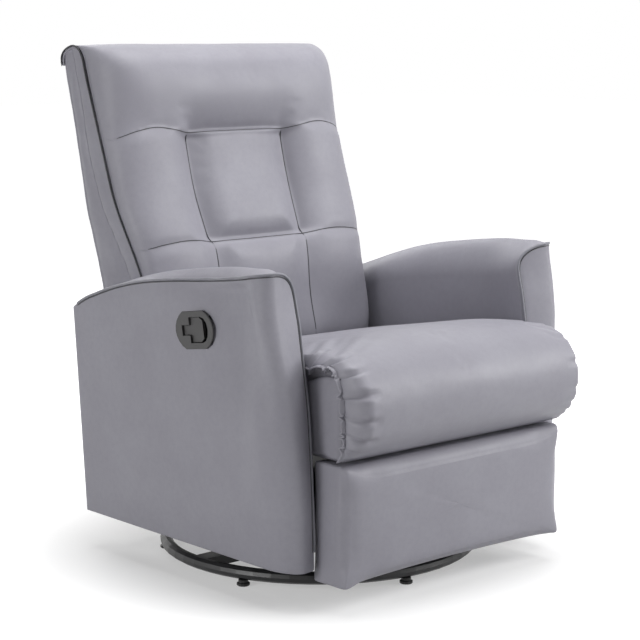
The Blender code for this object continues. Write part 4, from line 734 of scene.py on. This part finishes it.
def seat_ends(path):
    """Normals of the seat's side view, where its points lie at the sewn ends, how far they are gathered, and the
    pleats at each end."""
    inner = turned_in(path, len(path) // 3, (-0.1, 0.40))
    along = np.concatenate([[0.0], np.cumsum(np.linalg.norm(np.diff(path, axis=0), axis=1))])
    start = along[int(np.argmax(path[:, 0] < GATHER_LINE[0, 0]))]
    length = along[-1] - start
    share = np.clip((along - start) / length, 0.0, 1.0)
    sewn = np.stack([np.interp(share, np.linspace(0, 1, 200), column) for column in spline(GATHER_LINE, 200).T], axis=1)
    gather = 1 - smooth(path[:, 0], -0.338, -0.300)
    pleats = {}
    for side, _ in SIDES:
        waves = np.zeros(len(path))
        for at, size, width in PLEATS:
            place = at + (0.028 if side > 0 else 0.0) * math.sin(40.0 * at)
            waves -= size * bump((share - place) * length, 0.0, width)
            waves += 0.30 * size * bump((share - place) * length, 0.0, 2.6 * width)
        pleats[side] = waves * gather
    return inner, lerp(path + inner * 0.020, sewn, gather[:, None]), gather, pleats


def make_seat_cushion():
    path = seat_path()
    face = BLOCK_FRONT_Y - HAIR
    under = [(face, ROLL_LOW + 0.010), (face, 0.345), (face, BLOCK_TOP + HAIR)]
    under += [(y, seat_underside(y)) for y in np.linspace(BLOCK_FRONT_Y, SEAT_REAR_Y, 24)[1:]]
    under = np.array(under)
    count = len(path)
    inner, target, gather, pleats = seat_ends(path)
    # Stations across: share of the half width, angle round the end and share of the tuck behind it
    stations = [(s, 0.0, 0.0) for s in 1 - (1 - np.linspace(0.0, 1.0, 56)) ** 1.25]
    stations += [(1.0, a, 0.0) for a in np.linspace(0.0, RIGHT_ANGLE, 18)[1:]]
    stations += [(1.0, RIGHT_ANGLE, t) for t in (0.35, 0.7, 1.0)]
    stations = [(-s, a, t) for s, a, t in reversed(stations[1:])] + stations
    full = lerp(ROLL_HALF, SEAT_HALF, smooth(path[:, 0], -0.348, -0.278))
    rings, zone = [], []
    for s, a, tuck in stations:
        side = 1.0 if s >= 0 else -1.0
        turn = lerp(0.016, END_TURN[side], gather)
        x = s * (full - turn) + side * turn * math.sin(a) - side * tuck * 0.015
        lift = 0.012 * (1 - np.minimum(np.abs(x) / full, 1.0) ** 4) * np.maximum(-inner[:, 1], 0.0)
        reach = np.clip((np.abs(x) - (full - 0.052)) / 0.052, 0.0, 1.0)
        pleat = pleats[side] * END_PLEAT[side] * reach ** 1.3
        point = path + (target - path) * (1 - math.cos(a)) + inner * (tuck * 0.004 - pleat)[:, None]
        point[:, 1] += lift
        low_x = side * min(abs(s) * 0.268 + 0.0155 * math.sin(a) - 0.0055 * tuck, 0.2835)
        low = np.column_stack([np.full(len(under), low_x), under])
        rings.append(np.vstack([np.column_stack([x, point]), low]))
        zone.append(np.concatenate([gather * reach, np.zeros(len(under))]))
    rings = np.array(rings)
    rings[:, :, 1] += SHIFT
    n, m = rings.shape[:2]
    faces = quads(n, m, ring=True)
    for i in (0, n - 1):
        corner = [Vector((p[1], p[2], 0.0)) for p in rings[i]]
        faces += [tuple(i * m + t for t in triangle) for triangle in tessellate_polygon([corner])]
    thing = outward(made("seat_cushion_skin", rings.reshape(-1, 3), faces), merge=False)
    zone = np.array(zone).ravel()
    held = np.zeros((n, m))
    held[:, count:] = 1.0
    held[:, :4] = held[:, count - 4:count] = 1.0
    held[:14] = held[-14:] = 1.0
    inflate(thing, held.ravel(), 2.5, 0.006, 25.0)
    point, normal = places(thing), normals(thing)
    upper = np.zeros((n, m))
    upper[:, :count] = 1.0
    sag = field(point, 8.0, 12) * upper.ravel()
    fine = field(point * np.array([1.0, 1.0, 0.5]), 34.0, 13) * zone
    put(thing, point + normal * (0.0012 * sag + 0.0008 * fine)[:, None])
    # Painted shade: the skin's end rows, tucked in at the gather, are darkened
    dark = np.zeros((n, m))
    for i, shade in enumerate((0.9, 0.9, 0.9, 0.4)):
        dark[i, :count] = dark[n - 1 - i, :count] = gather * shade
    mark(thing, dark.ravel(), np.clip(zone * 0.30, 0, 1))
    dressed(thing, LEATHER, "seat", "seat_cushion")
    for side, name in SIDES:
        make_gather(name, side, target[gather > 0.45], pleats[side][gather > 0.45])


def make_gather(name, side, line, waves):
    """Gathered flange where the roll's skin is sewn at its end."""
    count = 240
    line = resample(np.column_stack([line, waves]), count)
    inner = turned_in(line[:, :2], count // 2, (-0.30, 0.38))
    along = np.linspace(0.0, 1.0, count)
    swing = np.sin(along * 68.0 + 1.6 * np.sin(along * 23.0 + side)) * (0.75 + 0.25 * np.sin(along * 31.0))
    shiver = np.sin(along * 150.0 + 2.0 * np.sin(along * 41.0))
    # The flange stands out where the arm's front leaves it room
    free = smooth(-line[:, 0], 0.326, 0.350)
    rows = []
    for t in np.linspace(0.0, 1.0, 8):
        wave = (0.0036 * swing + 0.0010 * shiver) * t * free
        x = side * (ROLL_HALF - 0.0020 + (0.0040 + 0.0060 * free) * t + 0.6 * wave)
        offset = -0.0006 + 0.0030 * t + wave - 0.0040 * line[:, 2] * (1 - t)
        rows.append(np.column_stack([x, line[:, :2] + inner * offset[:, None] + np.array([SHIFT, 0.0])]))
    frill = grid("seat_gather_" + name, np.array(rows))
    changed(frill, "SOLIDIFY", thickness=0.0026, offset=0.0)
    changed(frill, "SUBSURF", levels=1, render_levels=1)
    outward(frill)
    mark(frill, 0.12, 0.25)
    dressed(frill, LEATHER, "seat")


# Pads that are boxes with round edges

def soft_box(name, low, high, radius):
    """Closed box with round edges, remeshed into even faces."""
    low, high = Vector(low), Vector(high)
    thing = cube(name, high - low, (high + low) / 2, bevel=radius)
    changed(thing, "REMESH", mode="VOXEL", voxel_size=0.004)
    changed(thing, "SMOOTH", factor=0.5, iterations=4)
    return thing


def rounded(points, radius, steps):
    line = []
    for i in range(len(points)):
        corner = Vector(points[i])
        before = Vector(points[i - 1]) - corner
        after = Vector(points[(i + 1) % len(points)]) - corner
        reach = min(radius / math.tan(before.angle(after) / 2), 0.49 * before.length, 0.49 * after.length)
        a, b = corner + before.normalized() * reach, corner + after.normalized() * reach
        for t in np.linspace(0.0, 1.0, steps + 1):
            line.append(tuple((1 - t) ** 2 * a + 2 * t * (1 - t) * corner + t ** 2 * b))
    return line


def make_footrest():
    """Padded panel with a flat rear, crisp side walls, soft front edges and corners that stand out as ears."""
    middle, tall = (FOOT_TOP + FOOT_LOW) / 2, (FOOT_TOP - FOOT_LOW) / 2
    corners = [(-FOOT_HALF, FOOT_LOW), (FOOT_HALF, FOOT_LOW), (FOOT_HALF, FOOT_TOP), (-FOOT_HALF, FOOT_TOP)]
    outline = np.array(rounded(corners, 0.004, 8))
    outline = resample(np.vstack([outline, outline[:1]]), 421)[:-1]
    x, z = outline[:, 0], outline[:, 1] - middle

    # How near each point of the outline is to a lower or an upper corner
    near = bump(np.abs(x), FOOT_HALF, 0.034) * np.maximum(bump(z, -tall, 0.034), 0.7 * bump(z, tall, 0.026))
    body, turn = FOOT_THICK + 0.003, 0.026
    inset = (0.021, 0.028, 0.014)

    def ring(depth, along_x, over, under, crown=0.0, scale=1.0):
        """Outline at a depth, drawn in at its sides, its top and its foot, and less at the corners."""
        firm = 1 - np.where(x < 0, 0.85, 0.50) * near * scale ** 8
        rx = x * (1 - np.where(x > 0, 0.6, 1.0) * along_x * firm / FOOT_HALF) * scale
        rz = z * (1 - np.where(z > 0, over, under) * firm / tall) * scale
        lift = 0.0060 * (1 - (rx / FOOT_HALF) ** 2) * smooth(-rz / tall, 0.2, 1.0)
        puff = crown * (1 - (rx / FOOT_HALF) ** 4) * (1 - (np.abs(rz) / tall) ** 3)
        reach = max(0.0, depth - (body - 2 * turn)) / (2 * turn)
        deep = depth + (body + 0.0035 - depth) * (1 - firm) * reach
        return np.stack([rx, FOOT_REAR_Y - deep - puff + SHIFT, middle + rz + lift], axis=1)

    rings = [ring(0.0, 0.003, 0.003, 0.003, scale=s) for s in np.linspace(0.1, 1.0, 10)]
    for t in np.linspace(0.0, 1.0, 9)[1:]:
        waist = 0.0012 * math.sin(math.pi * t) + 0.0020 * smooth(t, 0.80, 1.0)
        rings.append(ring(lerp(0.002, body - turn, t), waist, waist, waist))
    for a in np.linspace(0.0, RIGHT_ANGLE, 12)[1:]:
        k, pull = 1 - math.cos(a), 0.0020 * (1 - smooth(a, 0.0, 0.6))
        rings.append(ring(body - turn + turn * math.sin(a), *(size * k + pull for size in inset)))
    for s in 1 - np.linspace(0.0, 1.0, 38)[1:-1] ** 1.15:
        rings.append(ring(body, *inset, 0.0055, s))
    n, m = len(rings), len(outline)
    faces = quads(n, m, ring=True)
    points = list(np.vstack(rings))
    for i in (0, n - 1):
        points.append(np.mean(rings[i], axis=0))
        faces += [(i * m + k, i * m + (k + 1) % m, len(points) - 1) for k in range(m)]
    thing = outward(made("footrest_cushion", points, faces), merge=False)
    behind = FOOT_REAR_Y + SHIFT - places(thing)[:, 1]
    inflate(thing, np.where(behind < body - 0.012, 1.0, 0.0), 2.5, 0.003, 25.0)
    point, normal = places(thing), normals(thing)
    front = np.maximum(-normal[:, 1], 0.0) ** 2
    wide, high = point[:, 0], point[:, 2]
    ear = bump(np.abs(wide), FOOT_HALF, 0.05) * np.maximum(bump(high, FOOT_LOW, 0.05), bump(high, FOOT_TOP, 0.04))
    sag, fine = field(point, 9.0, 21), field(point, 38.0, 22)
    soft = smooth(behind, 0.010, 0.030)
    put(thing, point + normal * ((0.0010 * sag * front + 0.0010 * fine * ear) * soft)[:, None])
    # Faint painted shade in a line round the pad where its front edge starts to round, and wear at the ears
    mark(thing, 0.30 * bump(behind, body - turn, 0.004), ear * 0.5)
    dressed(thing, LEATHER, "footrest", "footrest_pad")


def make_block():
    low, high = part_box("seat_front_block")
    low = (low.x + 0.004, low.y + 0.001, low.z + 0.001)
    high = (high.x - 0.004, high.y - 0.0005, high.z - 0.0005)
    thing = soft_box("seat_front_rail_cover", low, high, 0.007)
    mark(thing)
    dressed(thing, LEATHER, "seat", "seat_front_block")
    for side, name in SIDES:
        make_end_panel(name, side)


def make_end_panel(name, side):
    """Padded end of the front rail, which stands a little behind the gathered end of the roll."""
    rear, front, low, top = BLOCK_REAR_Y + 0.045, BLOCK_FRONT_Y - 0.004, 0.2875, 0.440
    t, s = np.meshgrid(np.linspace(0.0, 1.0, 60), np.linspace(0.0, 1.0, 44), indexing="ij")
    crest = lerp(0.412, top, smooth(s, 0.0, 0.75))
    z = lerp(low + 0.004 * bump(s, 0.62, 0.13), crest, t)
    edge = np.minimum(np.minimum(s, 1 - s) * (rear - front), np.minimum(t, 1 - t) * (crest - low))
    rise = np.sqrt(np.maximum(1 - (1 - np.minimum(edge / 0.012, 1.0)) ** 2, 0.0))
    puff = 0.0020 * np.sin(math.pi * s) * np.sin(math.pi * t)
    crease = 0.0022 * bump(t, 0.80, 0.035) * smooth(s, 0.72, 1.0)
    x = side * (0.2800 + 0.0046 * rise + puff - crease)
    points = np.stack([x, lerp(rear, front, s) + SHIFT, z], axis=-1)
    thing = outward(grid("seat_end_panel_" + name, points), merge=False)
    point, normal = sided(thing, np.array([side, 0.0, 0.0]))
    wrinkle = field(point * np.array([1.0, 1.0, 0.45]), 46.0, 31)
    put(thing, point + normal * (0.0006 * wrinkle)[:, None])
    # Painted shadow towards the front edge, where the panel sits behind the roll's gathered end
    mark(thing, 0.55 * smooth(s, 0.80, 1.0).ravel())
    changed(thing, "SOLIDIFY", thickness=0.0015, offset=-1.0)
    outward(thing)
    dressed(thing, LEATHER, "seat")


def make_apron():
    low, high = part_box("rear_apron")
    inset = Vector((0.0005, 0.0005, 0.0005))
    thing = soft_box("rear_apron_cover", low + inset, high - inset, 0.006)
    point, normal = places(thing), normals(thing)
    rear = np.maximum(normal[:, 1], 0.0)
    middle = 1 - (np.abs(point[:, 0]) / high.x) ** 4
    rise = 1 - (2 * (point[:, 2] - low.z) / (high.z - low.z) - 1) ** 4
    put(thing, point + normal * (rear * (0.004 * middle * rise + 0.0014 * field(point, 14.0, 41)))[:, None])
    mark(thing)
    dressed(thing, LEATHER, "frame", "rear_apron")


# Arms: an outer sheet that wraps round the nose to the front, and an inner sheet over the top and down inside

def table(*points):
    """Smooth function through points, given in rising order."""
    line = spline(points, 400)
    return lambda value: np.interp(value, line[:, 0], line[:, 1])


# Height of the outer top edge and of the crown over it, by y
arm_edge = table(
    (-0.330, 0.6258), (-0.315, 0.6260), (-0.2954, 0.6246), (-0.2735, 0.6212), (-0.2442, 0.6160), (-0.2066, 0.6105),
    (-0.1685, 0.6061), (-0.1207, 0.6009), (-0.0347, 0.5923), (0.0276, 0.5845), (0.0733, 0.5772), (0.1201, 0.5673),
    (0.1681, 0.5547), (0.2174, 0.5390), (0.2475, 0.5288), (0.2782, 0.5150), (0.310, 0.4980),
)
arm_crown = table(
    (-0.320, 0.0), (-0.300, 0.004), (-0.270, 0.0085), (-0.245, 0.0120), (-0.220, 0.0155), (-0.190, 0.0178),
    (-0.130, 0.0178), (-0.076, 0.0160), (0.0, 0.0125), (0.060, 0.0080), (0.107, 0.0040), (0.150, 0.0010),
    (0.200, -0.001), (0.310, -0.001),
)
# Where the nose and the front's inner edge are in y, by height
arm_nose = table(
    (0.060, -0.3450), (0.077, -0.3457), (0.150, -0.3475), (0.250, -0.3485), (0.340, -0.3440), (0.400, -0.3390),
    (0.460, -0.3315), (0.510, -0.3240), (0.551, -0.3170), (0.581, -0.3120), (0.600, -0.3095), (0.6255, -0.3070),
    (0.640, -0.3065),
)
front_edge = table(
    (0.060, -0.3425), (0.077, -0.3425), (0.200, -0.3385), (0.316, -0.3305), (0.380, -0.3245), (0.440, -0.3155),
    (0.4737, -0.3097), (0.5263, -0.3005), (0.5572, -0.2925), (0.585, -0.2865), (0.610, -0.2840), (0.640, -0.2840),
)
FRONT_INNER = 0.2985
CORNER_DROP, CORNER_POWER, FRONT_POWER = 0.0595, 0.385, 1.35
REAR_ROUND, FOOT_ROUND = 0.010, 0.006


def nose_length(z):
    return lerp(0.070, 0.034, smooth(z, 0.38, 0.50))


def nose_depth(z):
    return lerp(0.040, 0.027, smooth(z, 0.38, 0.50))


def arm_outer(z):
    return lerp(ARM_OUTER_LOW, ARM_OUTER_TOP, (z - ARM_BOTTOM) / (ARM_FRONT_TOP - ARM_BOTTOM))


def arm_rear(z):
    return lerp(ARM_REAR_Y + 0.001, ARM_REAR_Y + 0.012, (z - ARM_BOTTOM) / (ARM_REAR_TOP - ARM_BOTTOM))


def arm_side(y, z):
    """Outer face with its fullness towards the front and the soft hollow behind the nose."""
    full = 0.0095 * smooth(z, 0.12, 0.36) * (1 - 0.45 * smooth(z, 0.545, 0.620)) * smooth(-y, 0.215, 0.290)
    behind = y - arm_nose(z) - lerp(-0.005, 0.010, smooth(z, 0.48, 0.585))
    hollow = 0.0150 * (smooth(behind, 0.008, 0.062) - smooth(behind, 0.085, 0.240))
    hollow = hollow * smooth(z, 0.34, 0.48) * smooth(arm_edge(y) - z, 0.002, 0.026)
    return arm_outer(z) + full - hollow


def arm_inside(y, z, welt_y):
    """Inner face. It comes in towards the front, where the front's pad is wider."""
    return lerp(FRONT_INNER, arm_outer(z) - ARM_THICK + 0.005, smooth(y - welt_y, 0.012, 0.120))


def arm_turned(y, z):
    """Rounds the rear edges and the foot: how far a point moves in, and down."""
    near = np.clip(1 - (arm_rear(z) - y) / REAR_ROUND, 0.0, 1.0)
    rear = REAR_ROUND * (1 - np.sqrt(1 - near ** 2))
    near = np.clip(1 - (z - ARM_BOTTOM) / FOOT_ROUND, 0.0, 1.0)
    foot = 0.7 * FOOT_ROUND * (1 - np.sqrt(1 - near ** 2))
    return np.maximum(rear, foot), rear * smooth(z, arm_edge(y) - 0.040, arm_edge(y))


def side_place(t, z):
    """Outer face at a share t of its length from the rear to the nose."""
    y = lerp(arm_rear(z), arm_nose(z) + nose_length(z), t)
    return arm_side(y, z), y


def nose_place(a, z):
    """Nose at an angle from the outer face to the front."""
    y = arm_nose(z) + nose_length(z) * (1 - np.sin(a))
    return arm_side(y, z) - nose_depth(z) * (1 - np.cos(a)), y


def front_place(t, z):
    """Front face at a share t of its width from the nose to its inner edge."""
    nose_y = arm_nose(z)
    x = lerp(arm_side(nose_y, z) - nose_depth(z), FRONT_INNER, t)
    return x, nose_y + (front_edge(z) - nose_y) * t ** FRONT_POWER


def on_edge(place, shares, height):
    """Line of a face along the outer top edge, as (x, y, z), found by steps from a first height."""
    z = np.full(len(shares), height)
    for _ in range(12):
        z = arm_edge(place(shares, z)[1])
    return np.stack([*place(shares, z), z], axis=1)


def arm_welt():
    """Line along which the two sheets are sewn, as (x, y, z) on three stretches: along the outer top edge to the nose,
    round it, and over the front's top to its inner edge. Also where each point is on its stretch."""
    back = np.concatenate([[0.0, 0.002, 0.005, 0.009, 0.014], np.linspace(0.022, 1.0, 84)])
    turn = np.linspace(0.0, RIGHT_ANGLE, 15)[1:]
    over = np.sin(np.linspace(0.0, RIGHT_ANGLE, 41)[1:])
    start, nose = on_edge(side_place, back, 0.58), on_edge(nose_place, turn, 0.622)
    z = nose[-1, 2] - CORNER_DROP * (1 - np.maximum(1 - over ** 2, 0.0) ** CORNER_POWER)
    front = np.stack([*front_place(over, z), z], axis=1)
    return back, start, turn, nose, over, front


def arm_sheets():
    """Points of the outer and the inner sheet, and the welt down to the foot."""
    back, start, turn, nose, over, front = arm_welt()
    heights = np.concatenate([[0.0, 0.003, 0.007, 0.012], 1 - (1 - np.linspace(0.025, 1.0, 66)) ** 1.2])
    welt = np.vstack([start, nose, front])
    outer = np.zeros((len(welt), len(heights), 3))
    stretches = [(side_place, t) for t in back] + [(nose_place, a) for a in turn] + [(front_place, t) for t in over]
    for i, (place, t) in enumerate(stretches):
        z = ARM_BOTTOM + (welt[i, 2] - ARM_BOTTOM) * heights
        outer[i] = np.stack([*place(t, z), z], axis=1)
        outer[i, -1] = welt[i]
    # The inner sheet ends at the welt's nose, front and inner edge
    ending = np.vstack([start[-1:], nose, front, outer[-1, -2::-1]])
    top = 1 + len(nose) + len(front)
    share = np.clip((arm_outer(ending[:, 2]) - ending[:, 0]) / (arm_outer(ending[:, 2]) - FRONT_INNER), 0.0, 1.0)
    share[:1] = 0.0
    inner = np.zeros((len(back), len(ending), 3))
    for k, (wx, wy, wz) in enumerate(ending):
        t = share[k]
        z = np.full(len(back), wz)
        for _ in range(8):
            y = lerp(arm_rear(z), wy, back)
            level = arm_edge(y)
            near = 1 - smooth(y - wy, 0.0, 0.030)
            if k < top:
                puff = (arm_crown(y) + 0.0063) * math.sin(math.pi * t ** 0.9)
                z = level - CORNER_DROP * (1 - max(1 - t ** 2, 0.0) ** CORNER_POWER) + puff
            else:
                z = ARM_BOTTOM + (level - CORNER_DROP - ARM_BOTTOM) * (wz - ARM_BOTTOM) / (front[-1, 2] - ARM_BOTTOM)
            z = lerp(z, wz, near)
        inside = arm_inside(y, np.minimum(z, level - CORNER_DROP), wy)
        x = lerp(arm_outer(level), inside, t) if k < top else inside
        inner[:, k] = np.stack([lerp(x, wx, near), y, z], axis=1)
    inner[:, 0] = start
    inner[-1] = ending
    return outer, inner, np.vstack([welt, outer[-1, -2::-1]])


def make_arm(name, side):
    outer, inner, welt = arm_sheets()
    points, faces, index, base = [], [], [], 0
    for sheet in (outer, inner):
        rows, columns = sheet.shape[:2]
        x, y, z = sheet.reshape(-1, 3).T
        inward, down = arm_turned(y, z)
        middle = arm_outer(z) - ARM_THICK / 2
        x = middle + (x - middle) * (1 - inward / (ARM_THICK / 2))
        points.append(np.stack([side * x, y + SHIFT, z - down], axis=1))
        index.append(base + np.arange(rows * columns).reshape(rows, columns))
        faces += quads(rows, columns, base=base)
        base += rows * columns
    rear = [*index[0][0], *index[1][0, 1:]]
    foot = [*index[0][:, 0], *index[1][-2::-1, -1]]
    faces += [tuple(map(int, rear)), tuple(map(int, foot))]
    thing = outward(made("arm_cover_" + name, np.vstack(points), faces))
    crisp(thing)
    point, normal = places(thing), normals(thing)
    wide, y, z = np.abs(point[:, 0]), point[:, 1] - SHIFT, point[:, 2]
    rim = smooth(arm_edge(y) - z, 0.004, 0.030) * smooth(z, ARM_BOTTOM + 0.004, ARM_BOTTOM + 0.03)
    outside = smooth(normal[:, 0] * side, 0.45, 0.95) * rim
    inside = smooth(-normal[:, 0] * side, 0.55, 0.95)
    facing = smooth(-normal[:, 1], 0.4, 0.9) * rim * smooth(wide - FRONT_INNER, 0.002, 0.012)
    length = (y - ARM_FRONT_Y) / (ARM_REAR_Y - ARM_FRONT_Y)
    rise = (z - ARM_BOTTOM) / (arm_edge(y) - ARM_BOTTOM)
    belly = np.clip(4 * rise * (1 - rise), 0, 1) ** 0.6 * np.clip(4 * length * (1 - length), 0, 1) ** 0.6
    sag = field(point, 7.0, 51 if side > 0 else 52)
    fine = field(point * np.array([1.0, 1.0, 0.6]), 34.0, 53)
    tucks = bump(wide, FRONT_INNER + 0.018, 0.016) * bump(z, 0.565, 0.030)
    tucks = tucks + 0.5 * bump(z, ARM_BOTTOM + 0.02, 0.03)
    move = outside * (0.0028 * belly + 0.0009 * sag * belly) + inside * 0.0012 * belly * sag
    move += facing * (0.0011 * fine * tucks + 0.0006 * sag)
    put(thing, point + normal * move[:, None])
    trim_arm(thing, name, welt * np.array([side, 1.0, 1.0]) + np.array([0.0, SHIFT, 0.0]), side)
    if side < 0:
        cut_pocket(thing)
    mark(thing)
    dressed(thing, LEATHER, "frame", "arm_" + name)


def crisp(thing):
    """Keeps the edge round each many-sided face sharp."""
    shape = bmesh.new()
    shape.from_mesh(thing.data)
    for face in shape.faces:
        if len(face.verts) > 8:
            for edge in face.edges:
                edge.smooth = False
    shape.to_mesh(thing.data)
    shape.free()


def trim_arm(thing, name, path, side):
    """Welt along the line where the two sheets are sewn, with a thin dark cord beside it as painted shadow of the
    crease under the welt.
    """
    surface = surface_of(thing)
    path = resample(path[6:-6], 460)
    ahead = units(np.gradient(path, axis=0))
    # On the outer side of the line: down from the top edge, outward from the front's inner edge
    across = units(np.stack([-ahead[:, 2] * side, np.zeros(len(path)), -np.hypot(ahead[:, 0], ahead[:, 1])], axis=1))
    welt, crease = [], []
    for p, aside in zip(path, across):
        hit, normal = surface.find_nearest(Vector(p))[:2]
        welt.append(hit + normal * 0.0012)
        crease.append(surface.find_nearest(Vector(p + aside * 0.0042))[0])
    cord = tube("arm_welt_" + name, resample(evened_path(welt, 3), 420), 0.0025)
    dressed(cord, WELT, "frame")
    # Dark cord just outside the welt: painted shadow of its crease
    line = tube("arm_seam_" + name, resample(evened_path(crease, 3), 420), 0.0013, 8)
    dressed(line, SEAM_SHADOW_LINE, "frame")


def cut_pocket(thing):
    """Opening in the arm's skin behind the bezel."""
    low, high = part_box("handle_bezel")
    centre = Vector(((low.x + high.x) / 2 + 0.004, (low.y + high.y) / 2 - 0.0035, (low.z + high.z) / 2))
    tool = cube("pocket_tool", (0.075, 0.085, 0.052), centre, Matrix.Rotation(math.radians(-8.0), 4, "X"))
    changed(thing, "BOOLEAN", object=tool, operation="DIFFERENCE", solver="EXACT")
    mesh = tool.data
    bpy.data.objects.remove(tool, do_unlink=True)
    bpy.data.meshes.remove(mesh)


# Light, floor and camera

FLOOR_HALF, AIM_HEIGHT = 20.0, 0.45
# Place, size across and power of each lamp
LAMPS = {
    "key": ((2.79, -2.79, 1.89), 2.0, 90.0),
    "front": ((0.90, -3.00, 3.20), 2.0, 50.0),
    "top": ((0.2, 0.0, 3.1), 2.4, 64.0),
    "left": ((-4.15, 0.15, 1.25), 1.6, 62.0),
    "rear": ((0.6, 3.4, 2.6), 2.0, 38.0),
}


def aimed(name, data, place, target):
    """Lamp or camera at a place, turned towards a target."""
    thing = linked(name, data)
    thing.location = place
    thing.rotation_euler = (Vector(target) - thing.location).to_track_quat("-Z", "Y").to_euler()
    return thing


def studio():
    scene = bpy.context.scene
    scene.view_settings.view_transform = "Standard"
    corners = [(x * FLOOR_HALF, y * FLOOR_HALF, 0.0) for x, y in ((-1, -1), (1, -1), (1, 1), (-1, 1))]
    floor = made("floor", corners, [(0, 1, 2, 3)])
    n = material("floor_white")
    diffuse = n.add("ShaderNodeBsdfDiffuse", {"Color": (0.60, 0.60, 0.60)})
    # The floor fades to the white of the background away from the object, and keeps the shadow near it
    away = n.add("ShaderNodeVectorMath", {0: n.where()}, operation="LENGTH").outputs["Value"]
    level = n.math("MULTIPLY", n.seen(), n.ramp(away, 0.36, 0.86, 0.40, 1.0))
    glow = n.add("ShaderNodeEmission", {"Strength": level})
    both = n.add("ShaderNodeAddShader", {0: diffuse.outputs[0], 1: glow.outputs[0]})
    floor.data.materials.append(n.show(both))

    scene.world = bpy.data.worlds.new("studio")
    n = Nodes(scene.world, "ShaderNodeOutputWorld")
    level = n.add("ShaderNodeMapRange", {"Value": n.seen(), "To Min": 0.06, "To Max": 1.0}).outputs[0]
    n.show(n.add("ShaderNodeBackground", {"Color": (1.0, 1.0, 1.0), "Strength": level}))

    for name, (place, size, power) in LAMPS.items():
        lamp = bpy.data.lights.new(name, "AREA")
        lamp.shape, lamp.size, lamp.energy = "DISK", size, power
        aimed(name, lamp, place, (0.0, 0.0, AIM_HEIGHT))

    lens = bpy.data.cameras.new("camera")
    lens.lens, lens.sensor_width, lens.sensor_fit = 103.9, 36.0, "HORIZONTAL"
    scene.camera = aimed("camera", lens, (-2.462, -2.794 + SHIFT, 1.052), (0.163, 0.161 + SHIFT, 0.435))


studio()
make_back_cushion()
make_back_cover()
make_seat_cushion()
make_footrest()
make_block()
make_apron()
make_arm("left", 1.0)
make_arm("right", -1.0)

bpy.context.view_layer.update()
